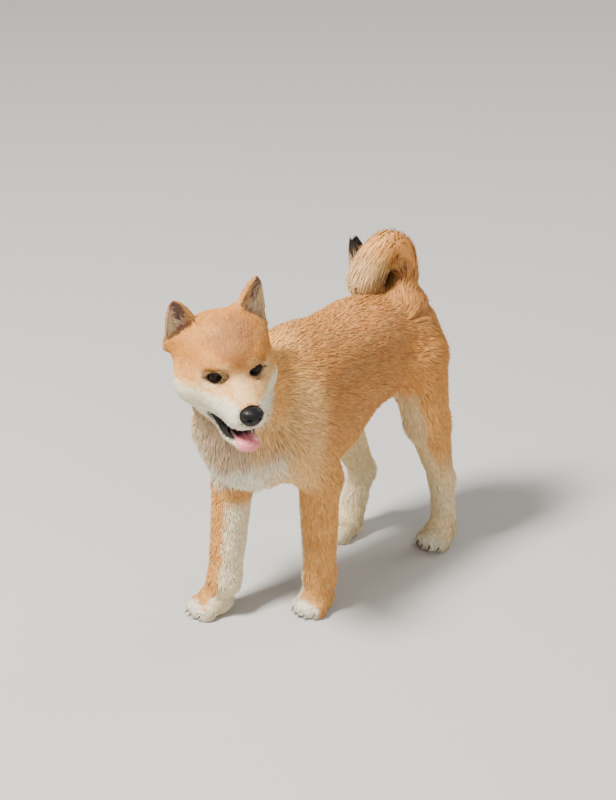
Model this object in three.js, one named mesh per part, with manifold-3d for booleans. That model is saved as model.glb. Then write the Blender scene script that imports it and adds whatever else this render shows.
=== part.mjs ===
// A shiba inu puppy of about four months, life size, as it stands in the photograph: head turned to its left
// with the mouth open, right forefoot and right hind foot forward, tail curled over the back.
// Millimetres. +Z is up, the puppy faces -Y and its left side is +X. The floor is z = 0.
import * as THREE from "three";
import Module from "manifold-3d";
import { mergeVertices } from "three/addons/utils/BufferGeometryUtils.js";

// Driving dimensions, over the coat
const WITHERS = 277; // floor to the top of the shoulders
const BACK = 281; // floor to the top of the loins and hips
const BRISKET = 130; // floor to the lowest point of the chest
const CHEST_HALF = 55; // half the width of the ribs
const HIP_HALF = 43; // half the width of the pelvis
const CHEST_FRONT = -154; // where the forechest reaches
const RUMP = 133; // where the rump reaches
const SKULL_HALF = 42; // half the width of the skull
const EYE_APART = 18.8; // from the middle of the face to an eyeball's centre
const EYEBALL = 8.8; // radius
const LID = 1.2; // radius of a lid's edge
const MUZZLE = 47.5; // from between the eyes to the tip of the nose
const NOSE_HALF = 10.5; // half the width of the nose leather
const EAR_HALF = 20; // half the width of an ear at its base
const EAR_DEPTH = 1.7; // how many times wider than deep an ear is
const EAR_RIM = 2.4; // thickness of its edge with the fur
const GAZE = 12; // degrees that each eye looks outwards
const FOREARM = 16; // radius half way down
const TAIL = 18; // radius with its brush
const CORE = 0.58; // the tail's core, as a share of its brush
const TAIL_ROOT = 0.66; // the tail's thickness at its root, as a share of its brush
// The locks of the tail's brush: length, half thickness at the root, how much they overlap, how many stand
// in a ring and how far apart the rings are
const LOCK = { length: 32, thick: 2.2, spread: 1.2, around: 6, step: 15 };
const CLAW = { radius: 1.9, length: 9, droop: 24 };
const GAP = 0.3; // between touching pieces
const SOCKET = 0.5; // room round an eyeball, the nose leather and the tongue

const MIDDLE = [5, -33]; // x and y of the middle of the puppy's box, which becomes the origin

// Where the pose puts the skeleton. A foot is the middle of its sole.
const face = { eyes: [31, -167, 280], turn: 66.5, nod: -4.7 };
const legs = {
  front_left: {
    foot: [37, -66], heading: 6, wrist: [37, -60, 38], elbow: [36, -60, 142], root: [28, -98, 195],
  },
  front_right: {
    foot: [-32, -136], heading: -22, wrist: [-24, -127, 38], elbow: [-32, -104, 142], root: [-32, -113, 192],
  },
  hind_left: {
    foot: [39, 117], heading: 8, hock: [37, 123, 70], knee: [38, 96, 146], root: [22, 92, 210],
  },
  hind_right: {
    foot: [-42, 66], heading: -10, hock: [-41, 92, 66], knee: [-38, 52, 136], root: [-24, 92, 208],
  },
};
const tailPath = [
  [5, 88, 258], [5, 97, 287], [4, 96, 304], [-3, 86, 320], [-9, 75, 312],
  [-13, 66, 295], [-18, 64, 283], [-26, 71, 282], [-35, 79, 293], [-42, 81, 308],
];

const wasm = await Module();
wasm.setup();
const { lerp, clamp, degToRad } = THREE.MathUtils;
const vector = (list) => new THREE.Vector3(...list);

// A form is a function of x, y and z: about the distance to its surface, negative inside it.
function ellipsoid([cx, cy, cz], [rx, ry, rz]) {
  return (x, y, z) => {
    const ax = (x - cx) / rx;
    const ay = (y - cy) / ry;
    const az = (z - cz) / rz;
    const reach = Math.sqrt(ax * ax + ay * ay + az * az);
    const slope = Math.sqrt((ax / rx) ** 2 + (ay / ry) ** 2 + (az / rz) ** 2);
    return (reach * (reach - 1)) / Math.max(slope, 1e-6);
  };
}

// A rod from a to b whose radius goes from ra to rb. In the given direction it is `wide` times as thick.
function limb(a, b, ra, rb, wide = 1, [ux, uy, uz] = [1, 0, 0]) {
  const [ax, ay, az] = a;
  const [dx, dy, dz] = [b[0] - ax, b[1] - ay, b[2] - az];
  const span = dx * dx + dy * dy + dz * dz;
  const extra = 1 / (wide * wide) - 1;
  return (x, y, z) => {
    const along = clamp(((x - ax) * dx + (y - ay) * dy + (z - az) * dz) / span, 0, 1);
    const ox = x - ax - along * dx;
    const oy = y - ay - along * dy;
    const oz = z - az - along * dz;
    const side = ox * ux + oy * uy + oz * uz;
    const off = Math.sqrt(Math.max(ox * ox + oy * oy + oz * oz + extra * side * side, 0));
    return (off - lerp(ra, rb, along)) * Math.min(1, wide);
  };
}

// Forms grown together, with a fillet of about the given size
function blend(fillet, ...forms) {
  return (x, y, z) => {
    let near = Infinity;
    for (const form of forms) {
      const other = form(x, y, z);
      const mix = Math.max(fillet - Math.abs(near - other), 0);
      near = Math.min(near, other) - (mix * mix) / (4 * fillet);
    }
    return near;
  };
}

// A form hollowed by another, with the edge rounded by about the given size
function hollow(round, form, tool) {
  return (x, y, z) => {
    const a = form(x, y, z);
    const b = -tool(x, y, z);
    const mix = Math.max(round - Math.abs(a - b), 0);
    return Math.max(a, b) + (mix * mix) / (4 * round);
  };
}

function chain(points, radii, fillet, wide = 1) {
  const rods = points.slice(1).map((point, i) => limb(points[i], point, radii[i], radii[i + 1], wide));
  return blend(fillet, ...rods);
}

function placed(matrix, form) {
  const e = matrix.clone().invert().elements;
  return (x, y, z) =>
    form(
      e[0] * x + e[4] * y + e[8] * z + e[12],
      e[1] * x + e[5] * y + e[9] * z + e[13],
      e[2] * x + e[6] * y + e[10] * z + e[14],
    );
}

// The closed surface of a form inside a box, by cutting each grid cube into six tetrahedra. Where a coarse
// grid is far from the surface, the fine one takes the coarse value.
function surface(form, [low, high], cell) {
  const count = low.map((value, axis) => Math.ceil((high[axis] - value) / cell / 4) * 4);
  const [nx, ny, nz] = count.map((value) => value + 1);
  const value = new Float64Array(nx * ny * nz);
  const index = (i, j, k) => i + nx * (j + ny * k);
  const at = (i, j, k) => form(low[0] + i * cell, low[1] + j * cell, low[2] + k * cell);
  const far = 4 * cell * 1.9;
  for (let k = 0; k < nz - 1; k += 4) {
    for (let j = 0; j < ny - 1; j += 4) {
      for (let i = 0; i < nx - 1; i += 4) {
        const middle = at(i + 2, j + 2, k + 2);
        for (let c = 0; c < 125; c++) {
          const [p, q, r] = [i + (c % 5), j + (Math.floor(c / 5) % 5), k + Math.floor(c / 25)];
          const rim = p === 0 || q === 0 || r === 0 || p === nx - 1 || q === ny - 1 || r === nz - 1;
          const here = index(p, q, r);
          if (rim) value[here] = cell;
          else if (Math.abs(middle) > far) value[here] = value[here] || middle;
          else value[here] = at(p, q, r) || 1e-9;
        }
      }
    }
  }
  const places = [];
  const triangles = [];
  const made = new Map();
  const crossing = (a, b) => {
    const key = a < b ? a * value.length + b : b * value.length + a;
    if (!made.has(key)) {
      const [m, n] = a < b ? [a, b] : [b, a];
      const part = clamp(value[m] / (value[m] - value[n]), 0.03, 0.97);
      const spot = (c) => [c % nx, Math.floor(c / nx) % ny, Math.floor(c / (nx * ny))];
      const [from, to] = [spot(m), spot(n)];
      made.set(key, places.length / 3);
      for (let axis = 0; axis < 3; axis++) places.push(low[axis] + cell * lerp(from[axis], to[axis], part));
    }
    return made.get(key);
  };
  const steps = [1, nx, nx * ny];
  const orders = [[0, 1, 2], [1, 2, 0], [2, 0, 1], [0, 2, 1], [2, 1, 0], [1, 0, 2]];
  for (let k = 0; k < nz - 1; k++) {
    for (let j = 0; j < ny - 1; j++) {
      for (let i = 0; i < nx - 1; i++) {
        const corner = index(i, j, k);
        const inner = value[corner] < 0;
        let mixed = false;
        for (let c = 1; c < 8 && !mixed; c++) {
          const other = corner + (c & 1) * steps[0] + ((c >> 1) & 1) * steps[1] + (c >> 2) * steps[2];
          mixed = value[other] < 0 !== inner;
        }
        if (!mixed) continue;
        orders.forEach((order, which) => {
          const b = corner + steps[order[0]];
          const c = b + steps[order[1]];
          let tetra = [corner, b, c, c + steps[order[2]]];
          if (which > 2) tetra = [tetra[0], tetra[2], tetra[1], tetra[3]];
          const inside = tetra.map((v) => value[v] < 0);
          const total = inside.filter(Boolean).length;
          if (total === 0 || total === 4) return;
          if (total === 2) {
            const [p, q] = [0, 1, 2, 3].filter((v) => inside[v]);
            const [r, s] = [0, 1, 2, 3].filter((v) => !inside[v]);
            const [m, n] = (p + q) % 2 === 1 ? [r, s] : [s, r];
            const ring = [[p, m], [p, n], [q, n], [q, m]].map(([u, v]) => crossing(tetra[u], tetra[v]));
            triangles.push(ring[0], ring[1], ring[2], ring[0], ring[2], ring[3]);
          } else {
            const lone = inside.indexOf(total === 1);
            const others = [[1, 2, 3], [0, 3, 2], [0, 1, 3], [0, 2, 1]][lone];
            const rest = others.map((v) => crossing(tetra[lone], tetra[v]));
            if (total === 1) triangles.push(rest[0], rest[1], rest[2]);
            else triangles.push(rest[0], rest[2], rest[1]);
          }
        });
      }
    }
  }
  return { places: new Float64Array(places), triangles };
}

// The same surface with about `aim` triangles: the edge whose loss moves the surface least goes first.
function thinned({ places, triangles }, aim) {
  const corners = Int32Array.from(triangles);
  const total = corners.length / 3;
  const around = Array.from({ length: places.length / 3 }, () => []);
  const error = new Float64Array((places.length / 3) * 10);
  const age = new Int32Array(places.length / 3);
  const alive = new Uint8Array(total).fill(1);
  const [a, b, c, n] = [0, 1, 2, 3].map(() => new THREE.Vector3());
  const normalOf = (p, q, r) => n.copy(q).sub(p).cross(c.copy(r).sub(p));
  const get = (target, v) => target.set(places[3 * v], places[3 * v + 1], places[3 * v + 2]);
  for (let f = 0; f < total; f++) {
    const [p, q, r] = [0, 1, 2].map((s) => new THREE.Vector3().fromArray(places, 3 * corners[3 * f + s]));
    normalOf(p, q, r);
    const area = n.length() / 2;
    if (area > 0) n.normalize();
    const d = -n.dot(p);
    const plane = [n.x, n.y, n.z, d];
    for (let s = 0; s < 3; s++) {
      const v = corners[3 * f + s];
      around[v].push(f);
      let slot = v * 10;
      for (let i = 0; i < 4; i++) for (let j = i; j < 4; j++) error[slot++] += plane[i] * plane[j] * area;
    }
  }
  const cost = (q, x, y, z) =>
    q[0] * x * x + 2 * q[1] * x * y + 2 * q[2] * x * z + 2 * q[3] * x + q[4] * y * y + 2 * q[5] * y * z +
    2 * q[6] * y + q[7] * z * z + 2 * q[8] * z + q[9];
  // The place for the merged corner: the point with the least error, or the edge's middle or ends
  const best = (u, v) => {
    const q = new Float64Array(10);
    for (let i = 0; i < 10; i++) q[i] = error[u * 10 + i] + error[v * 10 + i];
    get(a, u);
    get(b, v);
    const middle = a.clone().add(b).multiplyScalar(0.5);
    const spring = 1e-3 * (q[0] + q[4] + q[7]) + 1e-9;
    const [A, B, C, D, E, F] = [q[0] + spring, q[1], q[2], q[4] + spring, q[5], q[7] + spring];
    const right = [spring * middle.x - q[3], spring * middle.y - q[6], spring * middle.z - q[8]];
    const [AD, AE, AF] = [D * F - E * E, C * E - B * F, B * E - C * D];
    const [BE, BF, CF] = [A * F - C * C, B * C - A * E, A * D - B * B];
    const det = A * AD + B * AE + C * AF;
    const spots = [middle, a.clone(), b.clone()];
    if (Math.abs(det) > 1e-12) {
      const [u1, u2, u3] = right;
      const solved = new THREE.Vector3(AD * u1 + AE * u2 + AF * u3, AE * u1 + BE * u2 + BF * u3, 0);
      solved.setZ(AF * u1 + BF * u2 + CF * u3).divideScalar(det);
      if (solved.distanceTo(middle) < 2 * a.distanceTo(b)) spots.unshift(solved);
    }
    const costs = spots.map((s) => cost(q, s.x, s.y, s.z) + 1e-7 * a.distanceToSquared(b));
    const least = costs.indexOf(Math.min(...costs));
    return { cost: costs[least], spot: spots[least] };
  };
  const heap = [];
  const push = (item) => {
    let at = heap.push(item) - 1;
    while (at > 0) {
      const up = (at - 1) >> 1;
      if (heap[up].cost <= item.cost) break;
      heap[at] = heap[up];
      at = up;
    }
    heap[at] = item;
  };
  const pop = () => {
    const top = heap[0];
    const item = heap.pop();
    if (heap.length === 0) return top;
    let at = 0;
    for (;;) {
      let down = 2 * at + 1;
      if (down >= heap.length) break;
      if (down + 1 < heap.length && heap[down + 1].cost < heap[down].cost) down++;
      if (heap[down].cost >= item.cost) break;
      heap[at] = heap[down];
      at = down;
    }
    heap[at] = item;
    return top;
  };
  const offer = (u, v) => push({ u, v, ages: age[u] + age[v], ...best(u, v) });
  const neighbours = (v) => {
    const found = new Set();
    for (const f of around[v]) for (let s = 0; s < 3; s++) found.add(corners[3 * f + s]);
    found.delete(v);
    return found;
  };
  const flips = (v, other, spot) =>
    around[v].some((f) => {
      const three = [corners[3 * f], corners[3 * f + 1], corners[3 * f + 2]];
      if (three.includes(other)) return false;
      const old = three.map((w) => get(new THREE.Vector3(), w));
      const before = normalOf(...old).clone();
      const after = normalOf(...old.map((point, s) => (three[s] === v ? spot : point)));
      return after.dot(before) < 0.25 * after.length() * before.length() || after.length() < 1e-3;
    });
  around.forEach((_, v) => neighbours(v).forEach((w) => v < w && offer(v, w)));
  let left = total;
  while (left > aim && heap.length > 0) {
    const { u, v, ages, spot } = pop();
    if (age[u] < 0 || age[v] < 0 || ages !== age[u] + age[v]) continue;
    const mine = neighbours(u);
    const shared = [...neighbours(v)].filter((w) => mine.has(w));
    if (shared.length !== 2 || flips(u, v, spot) || flips(v, u, spot)) continue;
    for (const f of around[v]) {
      const three = [0, 1, 2].map((s) => 3 * f + s);
      if (three.some((s) => corners[s] === u)) {
        alive[f] = 0;
        left--;
        for (const s of three) {
          if (corners[s] !== v) around[corners[s]] = around[corners[s]].filter((g) => g !== f);
        }
      } else {
        for (const s of three) if (corners[s] === v) corners[s] = u;
        around[u].push(f);
      }
    }
    spot.toArray(places, 3 * u);
    for (let i = 0; i < 10; i++) error[u * 10 + i] += error[v * 10 + i];
    age[u] += 1;
    age[v] = -1e9;
    around[v] = [];
    neighbours(u).forEach((w) => offer(u, w));
  }
  const kept = [];
  alive.forEach((lives, f) => {
    if (lives) kept.push(corners[3 * f], corners[3 * f + 1], corners[3 * f + 2]);
  });
  const geometry = new THREE.BufferGeometry();
  geometry.setAttribute("position", new THREE.BufferAttribute(Float32Array.from(places), 3));
  geometry.setIndex(kept);
  return geometry;
}

function solidOf(geometry) {
  const bare = geometry.clone();
  bare.deleteAttribute("normal");
  bare.deleteAttribute("uv");
  const merged = mergeVertices(bare, 1e-4);
  return new wasm.Manifold(
    new wasm.Mesh({
      numProp: 3,
      vertProperties: Float32Array.from(merged.attributes.position.array),
      triVerts: Uint32Array.from(merged.index.array),
    }),
  );
}

function geometryOf(solid) {
  const { vertProperties, triVerts } = solid.getMesh();
  const geometry = new THREE.BufferGeometry();
  geometry.setAttribute("position", new THREE.BufferAttribute(vertProperties, 3));
  geometry.setIndex(new THREE.BufferAttribute(triVerts, 1));
  return geometry;
}

// The largest closed surface, without loose scraps and sealed hollows
function largest(solid) {
  const parts = solid.decompose();
  return parts.reduce((big, part) => (part.volume() > big.volume() ? part : big));
}

// Everything on the side of a plane that its normal points to, as far as the puppy reaches
function beyond([point, normal], shift = 0) {
  const reach = 700;
  const box = new THREE.BoxGeometry(reach, reach, reach);
  const direction = vector(normal).normalize();
  box.applyQuaternion(new THREE.Quaternion().setFromUnitVectors(new THREE.Vector3(0, 0, 1), direction));
  const middle = vector(point).addScaledVector(direction, reach / 2 + shift);
  return solidOf(box.translate(middle.x, middle.y, middle.z));
}

// The region where all the planes' normals point, moved out by `grow`
function region(planes, grow) {
  return planes.map((plane) => beyond(plane, -grow)).reduce((all, side) => all.intersect(side));
}

const within = (solid, planes) => solid.intersect(region(planes, -GAP / 2));
const without = (solid, planes) => solid.subtract(region(planes, GAP / 2));

// The head's own frame: x to its left, y backwards, z up, from midway between the eyes
const headFrame = (() => {
  const turn = degToRad(face.turn);
  const nod = degToRad(face.nod);
  const back = new THREE.Vector3(-Math.sin(turn), Math.cos(turn), -Math.tan(nod)).normalize();
  const left = new THREE.Vector3(Math.cos(turn), Math.sin(turn), 0);
  const up = left.clone().cross(back);
  return new THREE.Matrix4().makeBasis(left, back, up).setPosition(vector(face.eyes));
})();
const fromHead = (point) => vector(point).applyMatrix4(headFrame).toArray();
const turnedFromHead = (direction) => vector(direction).transformDirection(headFrame).toArray();
const headPlane = ([point, normal]) => [fromHead(point), turnedFromHead(normal)];

// The mouth is a wedge between the upper lips and the lower jaw. Its corner is the edge of the wedge.
const mouth = { corner: [-2, -31.5], lipSlope: 0.14, jawSlope: 0.72, half: 21 };
const upperLip = (y) => mouth.corner[1] + (y - mouth.corner[0]) * mouth.lipSlope;
const lowerLip = (y) => mouth.corner[1] + (y - mouth.corner[0]) * mouth.jawSlope;

function mouthForm(x, y, z) {
  const top = (z - upperLip(y)) / Math.hypot(1, mouth.lipSlope);
  const bottom = (lowerLip(y) - z) / Math.hypot(1, mouth.jawSlope);
  return Math.max(top, bottom, y - mouth.corner[0] - 0.012 * (mouth.half ** 2 - x * x));
}

function noseForm() {
  const middle = -MUZZLE + 8;
  const pad = blend(
    3,
    ellipsoid([0, middle, -20.4], [NOSE_HALF, 8.2, 6.9]),
    ellipsoid([0, middle + 0.5, -24.5], [NOSE_HALF * 0.74, 7.4, 6.6]),
  );
  const nostrils = [-1, 1].map((side) =>
    blend(
      1,
      ellipsoid([side * 4.6, -MUZZLE + 0.8, -22], [2.2, 3.4, 2]),
      limb([side * 5.4, -MUZZLE + 1.2, -22.4], [side * 9.6, -MUZZLE + 5.2, -23.4], 1.4, 0.8),
    ),
  );
  const groove = limb([0, -MUZZLE - 0.4, -23], [0, -MUZZLE + 2.2, -31.5], 0.6, 0.9);
  return hollow(0.6, pad, blend(0.5, ...nostrils, groove));
}

const eyeCentre = (side) => [side * EYE_APART, 6.6, 0.5];

// The hollow in front of an eye
function orbit(side) {
  const [cx, cy, cz] = eyeCentre(side);
  const turn = new THREE.Matrix4().makeRotationZ(side * degToRad(GAZE));
  return placed(turn.setPosition(cx, cy - 10, cz + 1), ellipsoid([0, 0, 0], [12, 6, 8]));
}

// A roll of skin round the eye's opening, a little higher at its outer corner
function lids(side) {
  const [cx, cy, cz] = eyeCentre(side);
  const outwards = degToRad(GAZE);
  const count = 12;
  const spots = Array.from({ length: count }, (_, i) => {
    const angle = (2 * Math.PI * i) / count;
    const across = 9.6 * Math.cos(angle);
    const height = (Math.sin(angle) > 0 ? 6.4 : 5) * Math.sin(angle) + 0.12 * across;
    const depth = Math.sqrt(Math.max((EYEBALL + 0.8) ** 2 - across ** 2 - height ** 2, 6));
    return [
      cx + side * (across * Math.cos(outwards) + depth * Math.sin(outwards)),
      cy + across * Math.sin(outwards) - depth * Math.cos(outwards),
      cz + height,
    ];
  });
  return blend(1, ...spots.map((spot, i) => limb(spot, spots[(i + 1) % count], LID, LID)));
}

// An ear, given the middle of its base, its tip and how far its cup is turned outwards
const ears = {
  left: { side: 1, base: [29, 37, 31], tip: [35, 34, 76], outwards: 12 },
  right: { side: -1, base: [-35, 37, 27], tip: [-48, 33, 66], outwards: 25 },
};

// The ear's frame: along it, from 0 at its base to 1 at its tip, then across and forwards in millimetres
function earFrame({ side, base, tip, outwards }) {
  const turn = degToRad(outwards);
  const forwards = new THREE.Vector3(side * Math.sin(turn), -Math.cos(turn), 0.12).normalize();
  const slope = degToRad(36); // the outer end of the base lies this much lower
  const level = new THREE.Vector3(side * Math.cos(turn), Math.sin(turn), 0);
  const across = level.multiplyScalar(Math.cos(slope)).setZ(-Math.sin(slope));
  across.addScaledVector(forwards, -across.dot(forwards)).normalize();
  const along = vector(tip).sub(vector(base));
  return new THREE.Matrix4().makeBasis(along, across, forwards).setPosition(vector(base));
}

const earWidth = (t) => EAR_HALF * Math.max(1 - Math.max(t, 0), 0) ** 0.55;

function earOuter(t, s, d) {
  return 0.6 * Math.max(Math.hypot(s, EAR_DEPTH * d) - earWidth(t), 45 * (t - 1), 45 * (-0.15 - t));
}

function earCup(t, s, d) {
  const width = earWidth(t);
  const shift = 0.2 * width + 1;
  return 0.6 * Math.max(Math.hypot(s, EAR_DEPTH * (d - shift)) - width + EAR_RIM, 45 * (0.07 - t));
}

const bothSides = (make) => [-1, 1].map(make);
const earForms = Object.values(ears).map((ear) => placed(earFrame(ear), earOuter));
const cupForms = Object.values(ears).map((ear) => placed(earFrame(ear), earCup));
const muzzleEnd = -MUZZLE + 15.5;

// The tongue lies in the lower jaw and hangs over its front teeth. It is wide and flat.
const tongueLine = new THREE.CatmullRomCurve3(
  [[0, 2, -40], [0, -14, -46], [0, -27, -50.5], [0, -35, -52], [0, -38, -57]].map(vector),
);
const tongueSpots = tongueLine.getPoints(12).map((spot) => spot.toArray());
const tongueForm = chain(tongueSpots, tongueSpots.map((_, i) => 2.9 - 0.9 * (i / 12) ** 2), 3, 3);
const eyeForms = bothSides((side) => ellipsoid(eyeCentre(side), [EYEBALL, EYEBALL, EYEBALL]));
const nosePad = noseForm();
const roomFor = (form) => (x, y, z) => form(x, y, z) - SOCKET;

const headForm = (() => {
  const skull = ellipsoid([0, 30, 6], [SKULL_HALF, 41, 40]);
  const cheeks = bothSides((side) => ellipsoid([side * 25, 20, -13], [22.5, 24, 22]));
  const temples = bothSides((side) => ellipsoid([side * 31, 30, 8], [12, 20, 24]));
  const brows = bothSides((side) => ellipsoid([side * 15, 4, 11], [13, 11, 8]));
  const muzzle = limb([0, 2, -13], [0, muzzleEnd, -23.5], 18, 12.6);
  const jowls = bothSides((side) => limb([side * 22, 16, -12], [side * 7, muzzleEnd + 8, -25], 20, 11));
  const flews = bothSides((side) => ellipsoid([side * 8, -23, -29], [9.5, 17, 8.5]));
  const chinBar = chain([[0, 16, -38], [0, -10, -51], [0, -25, -56.5]], [19, 11, 7.5], 8, 1.25);
  const throat = ellipsoid([0, 32, -32], [30, 30, 24]);
  const eyelids = bothSides(lids);
  const flesh = blend(8, skull, ...cheeks, ...temples, ...brows, muzzle, ...jowls, throat);
  const faceForm = blend(4, hollow(4, flesh, blend(0.1, ...bothSides(orbit))), ...flews, chinBar);
  const eyed = blend(2.5, blend(9, faceForm, ...earForms), ...eyelids);
  const open = hollow(1.5, hollow(1, eyed, blend(0.1, ...cupForms)), mouthForm);
  return hollow(0.2, open, roomFor(blend(0.1, ...eyeForms, nosePad, tongueForm)));
})();

function bodyForm() {
  const ribs = ellipsoid([0, -48, (BACK + BRISKET) / 2], [CHEST_HALF, 92, (BACK - BRISKET) / 2]);
  const withers = ellipsoid([0, -66, WITHERS - 46], [33, 50, 46]);
  const forechest = ellipsoid([-5, CHEST_FRONT + 44, 188], [49, 46, 50]);
  const loins = ellipsoid([0, 28, BACK - 57], [46, 84, 57]);
  const hips = ellipsoid([0, 90, BACK - 54], [HIP_HALF, RUMP - 90, 54]);
  const neck = chain([[1, -80, 216], [-9, -116, 231], [-18, -138, 256]], [52, 44, 38], 12);
  const tailRoot = limb(tailPath[0], tailPath[1], TAIL, TAIL_ROOT * TAIL);
  return blend(14, ribs, withers, forechest, loins, hips, neck, tailRoot);
}

function frontLeg({ foot, wrist, elbow, root }) {
  const pastern = limb(wrist, [foot[0], foot[1] + 4, 14], FOREARM - 1, FOREARM - 2);
  return blend(8, limb(root, elbow, 32, 21), limb(elbow, wrist, 20.5, FOREARM - 0.5), pastern);
}

function hindLeg({ foot, hock, knee, root }) {
  const thigh = limb(root, knee, 35, 22);
  const shank = limb(knee, hock, 22, 12.5);
  const metatarsus = limb(hock, [foot[0], foot[1] + 8, 14], 12.5, 12.5);
  return blend(9, thigh, shank, metatarsus);
}

// A paw's frame: x to its left, y backwards from the middle of the sole
function pawFrame({ foot, heading }) {
  const turn = new THREE.Matrix4().makeRotationZ(degToRad(heading));
  return turn.setPosition(foot[0], foot[1], 0);
}

const toes = [-1.5, -0.5, 0.5, 1.5].map((i) => ({ across: i * 8, ahead: -15 + 2.4 * i * i }));

const pawForm = blend(
  3,
  ellipsoid([0, 2, 13], [15.5, 19, 14]),
  ...toes.map(({ across, ahead }) => ellipsoid([across, ahead, 7.5], [6.2, 9.5, 8.3])),
);

// A claw at the front of a toe, curved down to the floor side
function claw({ across, ahead }) {
  const tip = new THREE.ConeGeometry(CLAW.radius, CLAW.length, 5);
  tip.rotateX(Math.PI / 2 + degToRad(CLAW.droop)).rotateY(Math.PI);
  return tip.translate(across, ahead - 9, 7.4);
}

const body = bodyForm();
const legForms = Object.values(legs).map((leg) => (leg.wrist ? frontLeg(leg) : hindLeg(leg)));
const pawForms = Object.values(legs).map((leg) => placed(pawFrame(leg), pawForm));
const placedHead = placed(headFrame, headForm);
const trunk = blend(12, body, ...legForms);
const limbs = blend(5, trunk, ...pawForms);
const whole = blend(7, placedHead, limbs);

// Where the body is parted: each plane's normal points to the piece that is named
const headSide = [
  [[-20, -130, 268], [0.76, -0.55, 0.35]],
  [[25, -104, 268], [-0.25, -0.95, 0.2]],
  [[20, -130, 235], [0.35, -0.45, 0.8]],
];
const neckSide = [[[0, -100, 225], [0, -0.75, 0.66]]];
const jawSide = [
  [[0, 1.5, -34], [0, -0.75, -0.66]],
  [[0, 1.5, -34], [0, 0.36, -1]],
  [[0, 14, -45], [0, -1, 0]],
  [[26, 0, -45], [-1, 0, 0]],
  [[-26, 0, -45], [1, 0, 0]],
].map(headPlane);
const tailSide = [
  [[3, 94, 275], [0, 0.35, 0.94]],
  [[-24, 94, 275], [1, 0, 0]],
  [[3, 66, 275], [0, 1, 0]],
];
const tailBaseSide = [
  [[-9, 82, 303], [0, 0, -1]],
  [[-9, 82, 303], [0.69, 0.72, 0]],
];
const tailTipSide = [
  [[-21, 68, 300], [-0.8, 0.5, -0.3]],
  [[-9, 82, 303], [-0.69, -0.72, 0]],
];
const earSide = ({ side, base, tip }) => {
  const frame = earFrame({ side, base, tip, outwards: 20 });
  const across = new THREE.Vector3().setFromMatrixColumn(frame, 1);
  const forwards = new THREE.Vector3().setFromMatrixColumn(frame, 2);
  const up = across.cross(forwards).multiplyScalar(-side).toArray();
  const start = vector(base).lerp(vector(tip), 0.12).toArray();
  return [headPlane([start, up])];
};

function legSide(name) {
  const side = name.endsWith("left") ? 1 : -1;
  if (name.startsWith("front")) {
    const behind = legs[name].elbow[1] + 36;
    return [
      [[side * 15, 0, 126], [side * 0.82, 0, -0.57]],
      [[0, behind, 130], [0, -1, 0.1]],
    ];
  }
  const ahead = legs[name].knee[1] - 36;
  return [
    [[side * 12, 0, 152], [side * 0.84, 0, -0.54]],
    [[0, ahead, 150], [0, 1, -0.1]],
  ];
}

function pawSide(name) {
  const height = name.startsWith("front") ? 27 : 25;
  const [x, y] = legs[name].foot;
  return [[[x, y, height], [0, -0.15, -1]]];
}

const floor = [[[0, 0, 0], [0, 0, 1]]];
const onFloor = (solid) => solid.intersect(region(floor, 0));
const solidForm = (form, box, cell, aim) => solidOf(thinned(surface(form, box, cell), aim));
const around = ([x, y, z], [dx, dy, dz]) => [[x - dx, y - dy, z - dz], [x + dx, y + dy, z + dz]];

const coat = { red: 0xc58a52, sable: 0xa8703f, cream: 0xe6d6bc, dark: 0x2b211c };
const finish = (color, roughness) => new THREE.MeshStandardMaterial({ color, roughness, metalness: 0 });
const puppy = new THREE.Group();

function add(name, geometry, material) {
  const mesh = new THREE.Mesh(geometry, material);
  mesh.name = name;
  puppy.add(mesh);
}
const addSolid = (name, solid, material) => add(name, geometryOf(largest(solid)), material);

function addHead() {
  const box = [[-56, -216, 205], [86, -84, 332]];
  const all = within(solidForm(whole, box, 1.5, 4900), headSide);
  let rest = without(all, jawSide);
  for (const [name, ear] of Object.entries(ears)) {
    const middle = fromHead(vector(ear.base).lerp(vector(ear.tip), 0.55).toArray());
    const cup = solidForm(placedHead, around(middle, [27, 32, 34]), 1.1, 1200);
    addSolid(`ear_${name}`, within(cup, earSide(ear)), finish(coat.red, 0.9));
    rest = without(rest, earSide(ear));
  }
  addSolid("head", rest, finish(coat.red, 0.9));
  addSolid("lower_jaw", within(all, jawSide), finish(coat.cream, 0.9));
  const noseBox = around([0, -MUZZLE + 8, -19], [14, 14, 14]);
  add("nose", thinnedPlaced(nosePad, noseBox, 0.8, 460), finish(0x1d1b1d, 0.35));
  const tongueBox = [[-16, -48, -70], [18, 8, -30]];
  add("tongue", thinnedPlaced(tongueForm, tongueBox, 0.9, 340), finish(0xd9838f, 0.4));
  bothSides((side) => {
    const ball = new THREE.SphereGeometry(EYEBALL, 14, 9).translate(...eyeCentre(side));
    const eye = geometryOf(solidOf(ball.applyMatrix4(headFrame)));
    add(side > 0 ? "eye_left" : "eye_right", eye, finish(0x2a1810, 0.1));
  });
}

// A form of the head's own frame as a geometry in place
function thinnedPlaced(form, box, cell, aim) {
  return geometryOf(largest(solidOf(thinned(surface(form, box, cell), aim).applyMatrix4(headFrame))));
}

function addBody() {
  const neck = solidForm(whole, [[-72, -192, 150], [72, -30, 330]], 4, 1400);
  addSolid("neck", without(within(neck, neckSide), headSide), finish(coat.red, 0.95));
  let torso = solidForm(limbs, [[-76, -176, 96], [76, 166, 306]], 4.5, 2300);
  torso = without(without(torso, neckSide), tailSide);
  for (const name of Object.keys(legs)) torso = without(torso, legSide(name));
  addSolid("torso", torso, finish(coat.sable, 0.95));
}

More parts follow.
